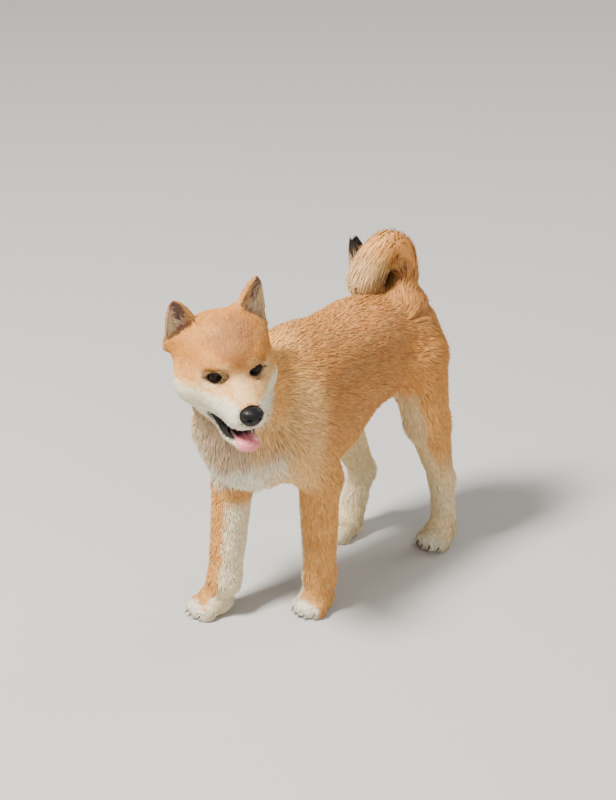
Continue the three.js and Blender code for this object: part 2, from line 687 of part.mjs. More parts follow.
function addLegs() {
  for (const [name, { foot, elbow, knee }] of Object.entries(legs)) {
    const top = elbow ?? knee;
    const low = [Math.min(foot[0], top[0]) - 46, Math.min(foot[1], top[1]) - 62, -8];
    const high = [Math.max(foot[0], top[0]) + 46, Math.max(foot[1], top[1]) + 66, 236];
    const side = name.endsWith("left") ? 1 : -1;
    low[0] = side > 0 ? -4 : low[0];
    high[0] = side > 0 ? high[0] : 4;
    const leg = solidForm(limbs, [low, high], 3.3, 1150);
    const piece = without(within(leg, legSide(name)), pawSide(name));
    addSolid(`leg_${name}`, piece, finish(coat.red, 0.9));
    const pawBox = around([foot[0], foot[1] - 4, 14], [30, 40, 22]);
    let paw = within(solidForm(limbs, pawBox, 1.9, 420), pawSide(name));
    for (const toe of toes) paw = paw.add(solidOf(claw(toe).applyMatrix4(pawFrame(legs[name]))));
    addSolid(`paw_${name}`, onFloor(paw), finish(coat.cream, 0.9));
  }
}

// The tail's middle line. Its frames give a place round it: s is 0 at the root and 1 at the end of the flesh,
// and goes on past that in the last direction.
const tailCurve = new THREE.CatmullRomCurve3(tailPath.map(vector));
const tailSteps = 90;
const tailFrames = tailCurve.computeFrenetFrames(tailSteps);
const tailLength = tailCurve.getLength();
function tailOutline(s) {
  const brush = lerp(TAIL_ROOT, 1, THREE.MathUtils.smoothstep(s, 0.12, 0.4));
  return TAIL * Math.min(brush, clamp((1.14 - s) / 0.4, 0.03, 1) ** 0.8);
}

// A place off the middle line. On the inner side of a bend it is nearer, so that nothing folds over itself.
function tailSpot(s, angle, radius) {
  const { tangents, normals, binormals } = tailFrames;
  const step = Math.round(clamp(s, 0, 1) * tailSteps);
  const spot = tailCurve.getPointAt(clamp(s, 0, 1));
  spot.addScaledVector(tangents[step], Math.max(s - 1, 0) * tailLength);
  const out = normals[step].clone().multiplyScalar(Math.cos(angle));
  out.addScaledVector(binormals[step], Math.sin(angle));
  const [before, after] = [Math.max(step - 2, 0), Math.min(step + 2, tailSteps)];
  const turn = tangents[after].clone().sub(tangents[before]).dot(out);
  const inward = (Math.max(turn, 0) * tailSteps) / ((after - before) * tailLength);
  return spot.addScaledVector(out, radius / (1 + 1.3 * inward * radius));
}

// A draw between -1 and 1, the same each time for the same pair of numbers
function vary(i, j) {
  const wave = Math.sin(i * 127.1 + j * 311.7) * 43758.5453;
  return 2 * (wave - Math.floor(wave)) - 1;
}

// One flat lock: it leaves the core at s, lies along the tail, rises to the brush's outline and tapers to a
// tip. Away from it, the distance to the ball round it stands in for the distance to it.
function tailLock(s, angle, length, width, drift) {
  const shares = [0, 0.4, 0.75, 1];
  const spots = shares.map((t) => {
    const along = s + (length * t) / tailLength;
    const outer = tailOutline(along);
    return tailSpot(along, angle + drift * t, lerp(CORE * outer - 2, outer - 1, t ** 0.8));
  });
  const middle = spots[0].clone().add(spots[3]).multiplyScalar(0.5);
  const reach = spots[0].distanceTo(spots[3]) / 2 + width / 2 + 2;
  const across = tailSpot(s, angle + 1, 9).sub(tailSpot(s, angle - 1, 9)).normalize().toArray();
  const thick = shares.map((t) => LOCK.thick * (1 - 0.7 * t));
  const rods = [0, 1, 2].map((i) => {
    const wide = (width / 2 / LOCK.thick) * (i === 2 ? 0.7 : 1);
    return limb(spots[i].toArray(), spots[i + 1].toArray(), thick[i], thick[i + 1], wide, across);
  });
  const lock = blend(0.6, ...rods);
  return (x, y, z) => {
    const away = Math.hypot(x - middle.x, y - middle.y, z - middle.z) - reach;
    return away > 6 ? away : lock(x, y, z);
  };
}

// The tail's core with its locks, clear of the back that its far end lies on
function addTail() {
  const coreSpots = tailCurve.getSpacedPoints(16).map((spot) => spot.toArray());
  const forms = [chain(coreSpots, coreSpots.map((_, i) => CORE * tailOutline(i / 16)), 3)];
  const steps = Math.floor((0.9 * tailLength) / LOCK.step);
  for (let ring = 0; ring < steps; ring++) {
    const s = 0.1 + (0.9 * ring) / steps;
    const width = (LOCK.spread * 2 * Math.PI * CORE * tailOutline(s)) / LOCK.around;
    for (let k = 0; k < LOCK.around; k++) {
      const angle = ((k + (ring % 2) / 2 + 0.2 * vary(ring, k)) * 2 * Math.PI) / LOCK.around;
      const length = LOCK.length * (1 + 0.15 * vary(ring + 7, k)) * (s > 0.8 ? 0.85 : 1);
      forms.push(tailLock(s, angle, length, width, 0.2 * vary(ring + 3, k + 5)));
    }
  }
  const brush = blend(0.8, ...forms);
  const clear = (x, y, z) => {
    const depths = tailSide.map(([p, n]) => (p[0] - x) * n[0] + (p[1] - y) * n[1] + (p[2] - z) * n[2]);
    return Math.max(brush(x, y, z), Math.min(1.5 - limbs(x, y, z), Math.max(...depths) + GAP));
  };
  const box = [[-80, 24, 246], [44, 166, 360]];
  const radii = [TAIL, TAIL_ROOT * TAIL, TAIL_ROOT * TAIL - 3];
  const root = solidForm(blend(9, limbs, chain(tailPath.slice(0, 3), radii, 4)), box, 2.8, 620);
  const tail = solidForm(clear, box, 1.5, 2700).add(within(root, tailSide));
  addSolid("tail_base", within(tail, tailBaseSide), finish(coat.red, 0.95));
  addSolid("tail_middle", without(without(tail, tailBaseSide), tailTipSide), finish(coat.cream, 0.95));
  addSolid("tail_tip", within(tail, tailTipSide), finish(coat.dark, 0.95));
}

addHead();
addBody();
addLegs();
addTail();
puppy.position.set(-MIDDLE[0], -MIDDLE[1], 0);

export default puppy;
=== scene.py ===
# A shiba inu puppy dressed over its solids: one skin, a coat of tufts that follow its lie, eyes, lids, nose,
# tongue and claws. Worked out in millimetres, with +Z up and the puppy facing -Y. meshFrom turns to metres.
import bpy
import math
import numpy as np
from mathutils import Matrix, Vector


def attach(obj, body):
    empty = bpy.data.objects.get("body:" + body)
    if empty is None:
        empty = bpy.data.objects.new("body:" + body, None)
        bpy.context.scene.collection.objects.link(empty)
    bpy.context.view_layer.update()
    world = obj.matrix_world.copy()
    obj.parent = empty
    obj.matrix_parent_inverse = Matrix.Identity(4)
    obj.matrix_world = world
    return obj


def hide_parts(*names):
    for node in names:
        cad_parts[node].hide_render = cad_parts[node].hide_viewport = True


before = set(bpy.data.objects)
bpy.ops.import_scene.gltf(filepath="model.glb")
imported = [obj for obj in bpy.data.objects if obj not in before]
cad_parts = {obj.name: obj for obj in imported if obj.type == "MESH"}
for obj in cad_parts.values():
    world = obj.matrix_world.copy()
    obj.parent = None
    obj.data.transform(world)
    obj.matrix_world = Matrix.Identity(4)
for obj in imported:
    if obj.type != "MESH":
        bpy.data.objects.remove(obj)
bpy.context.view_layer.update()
metre = 0.001   # metres in a millimetre
print("frame loaded")


# Rows scaled to length one
def unit(rows):
    rows = np.asarray(rows, float)
    return rows / np.maximum(np.linalg.norm(rows, axis=-1, keepdims=True), 1e-9)


# 0 up to the value start, 1 from the value end, and 3t^2 - 2t^3 between them. It runs down as well as up.
def step(start, end, values):
    t = np.clip((values - start) / (end - start), 0, 1)
    return t * t * (3 - 2 * t)


# A bell: e to the minus power of the distance over its size. The fourth power is flat on top.
def bell(distance, size, power=2):
    return np.exp(-((distance / size) ** power))


# A smooth draw of about -1 to 1 over space: 1.7 times the mean of seven seeded sine waves, whose length is
# about the size
def ripple(places, size, seed):
    draws = np.random.default_rng(seed)
    waves = unit(draws.normal(size=(7, 3))) * (2 * math.pi / size) * draws.uniform(0.7, 1.4, (7, 1))
    return 1.7 * np.sin(places @ waves.T + draws.uniform(0, 6.3, 7)).mean(axis=1)


# Adds each face corner's value onto its point: one sum for each of the three axes
def gathered(index, rows, count):
    return np.stack([np.bincount(index, rows[:, axis], count) for axis in range(3)], axis=1)


# A point's normal: the sum of the cross products of the faces round it, scaled to one
def cornerNormals(places, triangles):
    a, b, c = (places[triangles[:, corner]] for corner in range(3))
    across = np.cross(b - a, c - a)
    return unit(sum(gathered(triangles[:, corner], across, len(places)) for corner in range(3)))


# Quads as pairs of triangles
def split(quads):
    return np.concatenate([quads[:, [0, 1, 2]], quads[:, [0, 2, 3]]])


# Equal turns round a circle: the share of each times twice pi
def turns(count):
    return np.arange(count) * 2 * math.pi / count


# The quads between rings of points, each ring closed round its spokes. Closed also joins the last ring to
# the first, and flipped turns the faces over.
def ringQuads(rings, spokes, closed=False, flipped=False):
    i, j = np.meshgrid(np.arange(rings if closed else rings - 1), np.arange(spokes), indexing="ij")
    n, k = (i + 1) % rings, (j + 1) % spokes
    quads = np.stack([i * spokes + j, i * spokes + k, n * spokes + k, n * spokes + j], -1).reshape(-1, 4)
    return quads[:, [0, 3, 2, 1]] if flipped else quads


# Circles round a line, one at each of its points: the radius times the cosine of each turn towards the side
# given plus its sine across that side and the line's way
def circles(line, along, side, radius, spokes):
    one = unit(side - along * (side * along).sum(axis=1, keepdims=True))
    two = np.cross(along, one)
    turn = turns(spokes)
    ring = np.cos(turn)[None, :, None] * one[:, None] + np.sin(turn)[None, :, None] * two[:, None]
    return (line[:, None] + radius[:, None, None] * ring).reshape(-1, 3)


# Places turned about the upright axis by an angle in degrees: x cos - y sin, and x sin + y cos
def turned(places, degrees):
    angle = math.radians(degrees)
    spin = [[math.cos(angle), -math.sin(angle), 0], [math.sin(angle), math.cos(angle), 0], [0, 0, 1]]
    return places @ np.array(spin).T


# A point moves by its share of the way to the mean of its neighbours, again and again
def relaxed(places, faces, share, rounds):
    starts, ends = faces.ravel(), np.roll(faces, -1, axis=1).ravel()
    count = np.bincount(starts, minlength=len(places)) + np.bincount(ends, minlength=len(places))
    count = np.maximum(count, 1)
    for _ in range(rounds):
        total = gathered(starts, places[ends], len(places)) + gathered(ends, places[starts], len(places))
        places = places + share[:, None] * (total / count[:, None] - places)
    return places


# A mesh object from places in millimetres and faces with one number of corners
def meshFrom(name, places, faces, finish=None):
    mesh = bpy.data.meshes.new(name)
    mesh.vertices.add(len(places))
    mesh.vertices.foreach_set("co", (places * metre).astype(np.float32).ravel())
    mesh.loops.add(faces.size)
    mesh.loops.foreach_set("vertex_index", faces.astype(np.int32).ravel())
    mesh.polygons.add(len(faces))
    mesh.polygons.foreach_set("loop_start", np.arange(0, faces.size, faces.shape[1], dtype=np.int32))
    mesh.polygons.foreach_set("use_smooth", np.ones(len(faces), bool))
    mesh.update(calc_edges=True)
    if finish:
        mesh.materials.append(finish)
    obj = bpy.data.objects.new(name, mesh)
    bpy.context.scene.collection.objects.link(obj)
    return obj


# Stores one colour for each point
def paint(obj, colours):
    layer = obj.data.color_attributes.new("coatColour", "FLOAT_COLOR", "POINT")
    rows = np.column_stack([colours, np.ones(len(colours))])
    layer.data.foreach_set("color", rows.astype(np.float32).ravel())


# A mesh's points in millimetres and its faces as rows of point numbers: its quads, or its triangles
def readMesh(mesh, quads=False):
    places = np.empty(3 * len(mesh.vertices), np.float32)
    mesh.vertices.foreach_get("co", places)
    if quads:
        corners = np.empty(len(mesh.loops), np.int32)
        mesh.loops.foreach_get("vertex_index", corners)
    else:
        mesh.calc_loop_triangles()
        corners = np.empty(3 * len(mesh.loop_triangles), np.int32)
        mesh.loop_triangles.foreach_get("vertices", corners)
    return places.reshape(-1, 3).astype(float) * 1000, corners.reshape(-1, 4 if quads else 3)


# The points and triangles of a node of the frame, with its loose triangles merged at equal corners
def nodeArrays(name):
    places, corners = readMesh(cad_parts[name].data)
    _, first, where = np.unique(np.round(places, 3), axis=0, return_index=True, return_inverse=True)
    return places[first], where.reshape(-1)[corners]


# What a scratch object's modifiers make of its mesh. The object is removed.
def modified(scratch, quads=False):
    arrays = readMesh(scratch.evaluated_get(bpy.context.evaluated_depsgraph_get()).to_mesh(), quads)
    bpy.data.objects.remove(scratch)
    return arrays


# Quads of one even size over closed forms, by Blender's voxel remesh
def remeshed(places, triangles, voxel):
    scratch = meshFrom("scratch", places, triangles)
    remesh = scratch.modifiers.new("remesh", "REMESH")
    remesh.mode = "VOXEL"
    remesh.voxel_size = voxel * metre
    return modified(scratch, quads=True)


# The count of triangles brought down to a limit by Blender's Decimate, only at the chosen points
def thinned(places, quads, chosen, limit):
    scratch = meshFrom("scratch", places, quads)
    scratch.vertex_groups.new(name="chosen").add(np.flatnonzero(chosen).tolist(), 1.0, "REPLACE")
    thin = scratch.modifiers.new("thin", "DECIMATE")
    thin.ratio = min(limit / (2 * len(quads)), 1)
    thin.vertex_group = "chosen"
    thin.use_collapse_triangulate = True
    return modified(scratch)


# Where the head, eyes, nose, mouth, ears and feet are, as in the solids. The head has its own frame.
headPose = {"middle": np.array([26.0, -134.0, 280.0]), "turn": 66.5, "nod": -4.7}
headTurn = math.radians(headPose["turn"])
headBack = unit([-math.sin(headTurn), math.cos(headTurn), -math.tan(math.radians(headPose["nod"]))])
headLeft = np.array([math.cos(headTurn), math.sin(headTurn), 0.0])
headAxes = np.stack([headLeft, headBack, np.cross(headLeft, headBack)])
headSides = [((-25, -97, 268), (0.76, -0.55, 0.35)), ((20, -71, 268), (-0.25, -0.95, 0.2)),
             ((15, -97, 235), (0.35, -0.45, 0.8))]
eyeSettings = {"apart": 18.8, "back": 6.6, "up": 0.5, "radius": 8.8, "gaze": 12}
noseSettings = {"half": 10.5, "tip": -47.5, "height": -21.5, "long": 8.4, "tall": 8.6}
lidSettings = {"across": 6.5, "upper": 4.9, "lower": 4.0, "tilt": 0.16, "radius": 0.62, "skin": 10.1}
mouthSettings = {"corner": (-2, -31.5), "lip": 0.14, "jaw": 0.72, "jawCosine": 0.81, "half": 21,
                 "band": ((-34, -28, -22, -15, -6, 4), (1.5, 2.5, 5, 9, 12, 12))}
# Each ear's shade is where, across its cup, the painted shade of the hollow is centred
ears = {"left": {"side": 1, "base": (29, 37, 31), "tip": (35, 34, 76), "outwards": 12, "shade": 0},
        "right": {"side": -1, "base": (-35, 37, 27), "tip": (-48, 33, 66), "outwards": 25, "shade": -5}}
earShape = {"half": 20, "taper": 0.55, "slant": 36}
feet = {"front_left": ((32, -33), 6), "front_right": ((-37, -103), -22),
        "hind_left": ((34, 150), 8), "hind_right": ((-47, 99), -10)}


# Places into the head's frame (left, back, up from between the eyes), and back out of it
def inHead(places):
    return (places - headPose["middle"]) @ headAxes.T


def fromHead(places):
    return np.asarray(places, float) @ headAxes + headPose["middle"]


# An ear's frame in the head's: along it from base to tip, across, and forwards out of its cup
def earAxes(ear):
    turn = math.radians(ear["outwards"])
    forwards = unit([ear["side"] * math.sin(turn), -math.cos(turn), 0.12])
    slant = math.radians(earShape["slant"])
    across = np.array([ear["side"] * math.cos(turn), math.sin(turn), 0]) * math.cos(slant)
    across[2] = -math.sin(slant)
    across = unit(across - forwards * (across @ forwards))
    return np.stack([np.subtract(ear["tip"], ear["base"]), across, forwards])


# Each place's share along the ear, its distance across it and its distance forwards
def earPlaces(ear, spots):
    return (spots - np.array(ear["base"])) @ np.linalg.inv(earAxes(ear))


# Each ear in turn, with those three for each place
def onEars(spots):
    for ear in ears.values():
        yield ear, *earPlaces(ear, spots).T


# Half an ear's width at a share t of its length: that of its base times 1 - t to the taper's power
def earWidth(t):
    return earShape["half"] * np.clip(1 - t, 0, 1) ** earShape["taper"]


# 1 in a bell-shaped band round the foot of each ear, where it grows out of the head
def earRoot(spots):
    band = np.zeros(len(spots))
    for ear, t, s, d in onEars(spots):
        foot = bell(t - 0.02, 0.16) * step(30, 24, np.abs(s)) * step(26, 20, np.abs(d))
        band = np.maximum(band, foot)
    return band


# How far a spot of the head is over the open mouth's upper lip, and how far under its lower one. Both lips
# are planes through the corner, and the lower one's slope counts by its cosine.
def pastLips(spots):
    y, z = spots[:, 1], spots[:, 2]
    cornerY, cornerZ = mouthSettings["corner"]
    over = z - cornerZ - (y - cornerY) * mouthSettings["lip"]
    return over, (cornerZ + (y - cornerY) * mouthSettings["jaw"] - z) * mouthSettings["jawCosine"]


# How far a spot of the head is from the open mouth's wedge: the largest of its distances past the lips and
# behind the corner, negative inside
def mouthDistance(spots):
    x, y = spots[:, 0], spots[:, 1]
    over, under = pastLips(spots)
    behind = y - mouthSettings["corner"][0] - 0.012 * (mouthSettings["half"] ** 2 - x * x)
    return np.maximum(np.maximum(over, under), behind)


# How far a spot is from the dark skin of the lips: the wedge, a little more of it towards the corner, and a
# band on the jaw under the wedge's lower side that widens to the corner
def lipDistance(spots):
    x, y = spots[:, 0], spots[:, 1]
    over, under = pastLips(spots)
    band = np.max([under - np.interp(y, *mouthSettings["band"]), over - 0.5, y - 7, 4 - np.abs(x)], axis=0)
    return np.minimum(mouthDistance(spots) - 1.4 * step(-30, -10, y), band)


# The left eyeball's middle, and its opening's axes as rows: across to the outer corner, ahead, and up
eyeMiddle = np.array([eyeSettings["apart"], eyeSettings["back"], eyeSettings["up"]])
gaze = math.radians(eyeSettings["gaze"])
eyeAxes = np.array([[math.cos(gaze), math.sin(gaze), 0], [math.sin(gaze), -math.cos(gaze), 0], [0, 0, 1]])


# A spot of the head seen from the nearer eyeball, by those axes
def eyePlaces(spots):
    return (np.abs(spots) * [1, 0, 0] + spots * [0, 1, 1] - eyeMiddle) @ eyeAxes.T


# And back from the eye on one side to the part's frame
def fromEye(places, side):
    return fromHead((places.reshape(-1, 3) @ eyeAxes + eyeMiddle) * [side, 1, 1])


# A spot's distance from the nearer eyeball's middle
def eyeDistance(spots):
    return np.linalg.norm(eyePlaces(spots), axis=1)


# 1 on the edge of the lids' almond, less inside it: the root of the square of across plus up to the power
# 4/3, both as shares of its half sizes
def almondShare(spots):
    across, ahead, up = eyePlaces(spots).T
    up = up - lidSettings["tilt"] * across
    tall = np.where(up > 0, lidSettings["upper"], lidSettings["lower"])
    share = np.sqrt((across / lidSettings["across"]) ** 2 + np.abs(up / tall) ** (4 / 3))
    return np.where(ahead > 0, share, 9)


# The almond's edge at each turn round it, as across and up: up runs with the sine to the power 1.5
def almondEdge(turn):
    tall = np.where(np.sin(turn) > 0, lidSettings["upper"], lidSettings["lower"])
    across = lidSettings["across"] * np.cos(turn)
    return across, tall * np.sign(np.sin(turn)) * np.abs(np.sin(turn)) ** 1.5 + lidSettings["tilt"] * across


# How far a spot of the head is from the nose leather's ellipsoid
def noseDistance(spots):
    middle = np.array([0, noseSettings["tip"] + 8, noseSettings["height"]])
    sizes = [noseSettings["half"], noseSettings["long"], noseSettings["tall"]]
    return (np.linalg.norm((spots - middle) / sizes, axis=1) - 1) * 8.5


# The tail's middle line: a Catmull-Rom curve through its path, resampled at even lengths
tailSettings = {"radius": 18, "core": 0.56, "root": 0.66, "steps": 120, "sides": 20, "path": [
    (0, 121, 258), (0, 130, 287), (-1, 129, 304), (-8, 119, 320), (-14, 108, 312),
    (-18, 99, 295), (-23, 97, 283), (-31, 104, 282), (-40, 112, 293), (-47, 114, 308)]}


def tailCurve(settings):
    path = np.array(settings["path"], float)
    padded = np.concatenate([[2 * path[0] - path[1]], path, [2 * path[-1] - path[-2]]])
    t = np.linspace(0, 1, 24, endpoint=False)[:, None, None]
    a, b, c, d = padded[:-3], padded[1:-2], padded[2:-1], padded[3:]
    curve = 0.5 * (2 * b + t * (c - a) + t**2 * (2 * a - 5 * b + 4 * c - d) + t**3 * (3 * b - a - 3 * c + d))
    curve = np.concatenate([curve.transpose(1, 0, 2).reshape(-1, 3), path[-1:]])
    along = np.concatenate([[0], np.cumsum(np.linalg.norm(np.diff(curve, axis=0), axis=1))])
    even = np.linspace(0, along[-1], settings["steps"])
    return np.stack([np.interp(even, along, curve[:, axis]) for axis in range(3)], axis=1), along[-1]


tailLine, tailLength = tailCurve(tailSettings)
tailAlong = unit(np.gradient(tailLine, axis=0))


# The brush's radius at a share s of the tail: thinner at its root, tapering past s = 0.75
def tailOutline(s):
    brush = tailSettings["root"] + (1 - tailSettings["root"]) * step(0.12, 0.4, s)
    return tailSettings["radius"] * np.minimum(brush, np.clip((1.14 - s) / 0.4, 0.03, 1) ** 0.8)


# The nearest step of the tail's line for each place, its share of the line, and how far off it is. Places far
# below are left out.
def nearTail(places):
    index = np.zeros(len(places), int)
    away = np.full(len(places), 999.0)
    near = np.flatnonzero((places[:, 2] > 255) & (places[:, 1] > 60))
    if len(near):
        distance = np.linalg.norm(places[near][:, None] - tailLine[None, ::2], axis=2)
        index[near] = 2 * distance.argmin(axis=1)
        away[near] = distance.min(axis=1)
    return index, index / (tailSettings["steps"] - 1), away


# A tube round the tail's line as wide as its core, closed at both ends by a fan
def tailTube():
    sides = tailSettings["sides"]
    chosen = np.arange(6, tailSettings["steps"], 3)
    line, along = tailLine[chosen], tailAlong[chosen]
    radius = tailSettings["core"] * tailOutline(chosen / (tailSettings["steps"] - 1))
    places = circles(line, along, np.array([1.0, 0, 0]), radius, sides)
    j, k = np.arange(sides), (np.arange(sides) + 1) % sides
    end = len(places) - sides
    near = np.stack([np.full(sides, len(places)), k, j], 1)
    far = np.stack([np.full(sides, len(places) + 1), end + j, end + k], 1)
    places = np.concatenate([places, line[:1], line[-1:] + along[-1:] * 3])
    return places, np.concatenate([split(ringQuads(len(chosen), sides)), near, far])


# For each region: tufts to a square millimetre, then length, width and rise over the skin in millimetres
coatSettings = {
    "trunk": (0.47, 13, 1.7, 4.6),
    "neck": (0.5, 14, 1.7, 5.6),
    "chest": (0.46, 17, 1.9, 6.6),
    "leg": (0.65, 9, 1.4, 2.8),
    "paw": (0.8, 5, 1.3, 1.2),
    "head": (1.2, 7, 1.2, 2.1),
    "face": (2.0, 3.6, 0.8, 1.0),
    "ear": (1.4, 4.5, 0.9, 0.6),
    "cup": (0.9, 10, 0.8, 2.4),
    "tail": (1.1, 27, 2.0, 7.2),
}


# Each region's share at each place, from the planes, heights and frames above. The shares add up to one.
def regionShares(places, normals):
    spots = inHead(places)
    shares = {}
    left = np.ones(len(places))

    def take(name, amount):
        shares[name] = left * amount
        left[:] = left * (1 - amount)

    index, s, away = nearTail(places)
    core = tailSettings["core"] * tailOutline(s)
    take("tail", step(core + 7, core + 2.5, away) * step(0.1, 0.2, s))
    outOfEar = np.zeros(len(places))
    cup = np.zeros(len(places))
    for ear, t, s, d in onEars(spots):
        width = earWidth(t)
        inside = step(0.02, 0.14, t) * step(width + 6, width + 3, np.abs(s)) * step(20, 16, np.abs(d))
        outOfEar = np.maximum(outOfEar, inside)
        facing = (normals @ headAxes.T) @ earAxes(ear)[2]
        hollow = np.hypot(s, 1.7 * (d - 0.2 * width - 1)) < width - 1.0
        cup = np.maximum(cup, inside * hollow * step(-0.2, 0.1, facing))
    take("cup", cup)
    take("ear", outOfEar)
    planes = [(places - np.array(point)) @ unit(normal) for point, normal in headSides]
    isHead = step(-9, 9, np.min(planes, axis=0))
    isFace = step(18, 2, spots[:, 1]) * step(34, 18, spots[:, 2])
    take("face", isHead * isFace)
    take("head", isHead)
    take("paw", step(36, 22, places[:, 2]))
    take("leg", step(152, 118, places[:, 2]))
    front = step(-66, -104, places[:, 1]) * step(0.25, -0.45, normals[:, 1])
    take("chest", front * step(262, 236, places[:, 2]))
    take("neck", step(-40, -84, places[:, 1]) * step(190, 230, places[:, 2]))
    shares["trunk"] = left
    return shares


# One of the four numbers of the coat's settings at each place: the sum of each region's number by its share
def coatValue(shares, column):
    return sum(amount * coatSettings[name][column] for name, amount in shares.items())


# The lie of the coat: each region's own direction by its share, bent by two ripples, flat on the skin
def lieOf(places, normals, shares):
    spots = inHead(places)
    x, y, z = spots.T
    one = np.ones(len(places))
    side = np.sign(places[:, 0])
    down = step(236, 150, places[:, 2])
    trunk = np.stack([0.1 * side, 1 - 0.7 * down, -0.22 - 0.8 * down], 1)
    rump = step(105, 150, places[:, 1])[:, None]
    trunk = trunk * (1 - rump) + rump * np.stack([0.15 * side, 0.25 * one, -one], 1)
    index, s, away = nearTail(places)
    base = (step(40, 22, away) * step(0.34, 0.26, s))[:, None]
    trunk = trunk * (1 - base) + base * 1.2 * tailAlong[index]
    lies = {"trunk": trunk}
    lies["neck"] = one[:, None] * [-0.15, 0.8, -0.55]
    lies["chest"] = np.stack([0.1 * side, 0.25 * one, -one], 1)
    lies["leg"] = one[:, None] * [0, 0.22, -1]
    lies["paw"] = one[:, None] * [0, -0.75, -0.65]
    out = np.clip(x / 18, -1, 1)
    upper = step(-8, 14, z)
    lower = step(-12, -40, z)
    ahead = eyePlaces(spots)[:, 1]
    sight = np.stack([np.sign(x) * (eyeSettings["apart"] + ahead * math.sin(gaze)),
                      eyeSettings["back"] - ahead * math.cos(gaze), eyeSettings["up"] * one], 1)
    atEye = bell(eyeDistance(spots), 14.5, 4)   # hairs lie away from the line of sight near an eye
    hang = step(9, 2, lipDistance(spots)) * step(-46, -38, y) * (z > -36)
    face = np.stack([0.45 * out, one - 0.3 * upper - 0.3 * hang, 0.9 * upper - 0.35 * lower - 1.0 * hang], 1)
    face = face * (1 - 0.8 * atEye[:, None]) + 1.2 * atEye[:, None] * unit(spots - sight)
    lies["face"] = face @ headAxes
    lies["head"] = np.stack([0.55 * out, one, 0.25 * upper - 0.75 * lower], 1) @ headAxes
    lies["tail"] = tailAlong[index] + 0.25 * normals
    ear = np.zeros((len(places), 3))
    for settings in ears.values():
        along = unit(np.subtract(settings["tip"], settings["base"])) @ headAxes
        ear = np.where((np.sign(x) == settings["side"])[:, None], along, ear)
        near = bell(np.linalg.norm(spots - settings["base"], axis=1), 24)[:, None]
        lies["head"] = lies["head"] + 0.7 * near * along
    lies["ear"] = ear
    lies["cup"] = ear + 0.5 * (np.stack([0.6 * out, 0.7 * one, 0 * one], 1) @ headAxes)
    total = sum(shares[name][:, None] * unit(rows) for name, rows in lies.items())
    waves = np.stack([ripple(places, 16, 20 + axis) for axis in range(3)], 1)
    waves += 1.2 * np.stack([ripple(places, 60, 30 + axis) for axis in range(3)], 1)
    total = unit(total) + 0.16 * waves
    return unit(total - normals * (total * normals).sum(axis=1, keepdims=True))


tones = {
    "red": (0.65, 0.245, 0.055),
    "gold": (0.88, 0.45, 0.13),
    "sable": (0.29, 0.145, 0.065),
    "cream": (0.95, 0.69, 0.36),
    "white": (0.98, 0.89, 0.67),
    "crown": (0.58, 0.22, 0.02),
    # the throat's cream, darkened as a painted shadow of the head
    "throatShade": (0.56, 0.42, 0.27),
    "black": (0.018, 0.012, 0.009),
    "lip": (0.022, 0.017, 0.017),
    "cup": (0.50, 0.27, 0.215),
}
tones = {name: np.array(tone) for name, tone in tones.items()}
gapSettings = {"middle": (-4, 112, 277), "shape": (1, 1, 1.6)}   # the shade inside the tail's curl
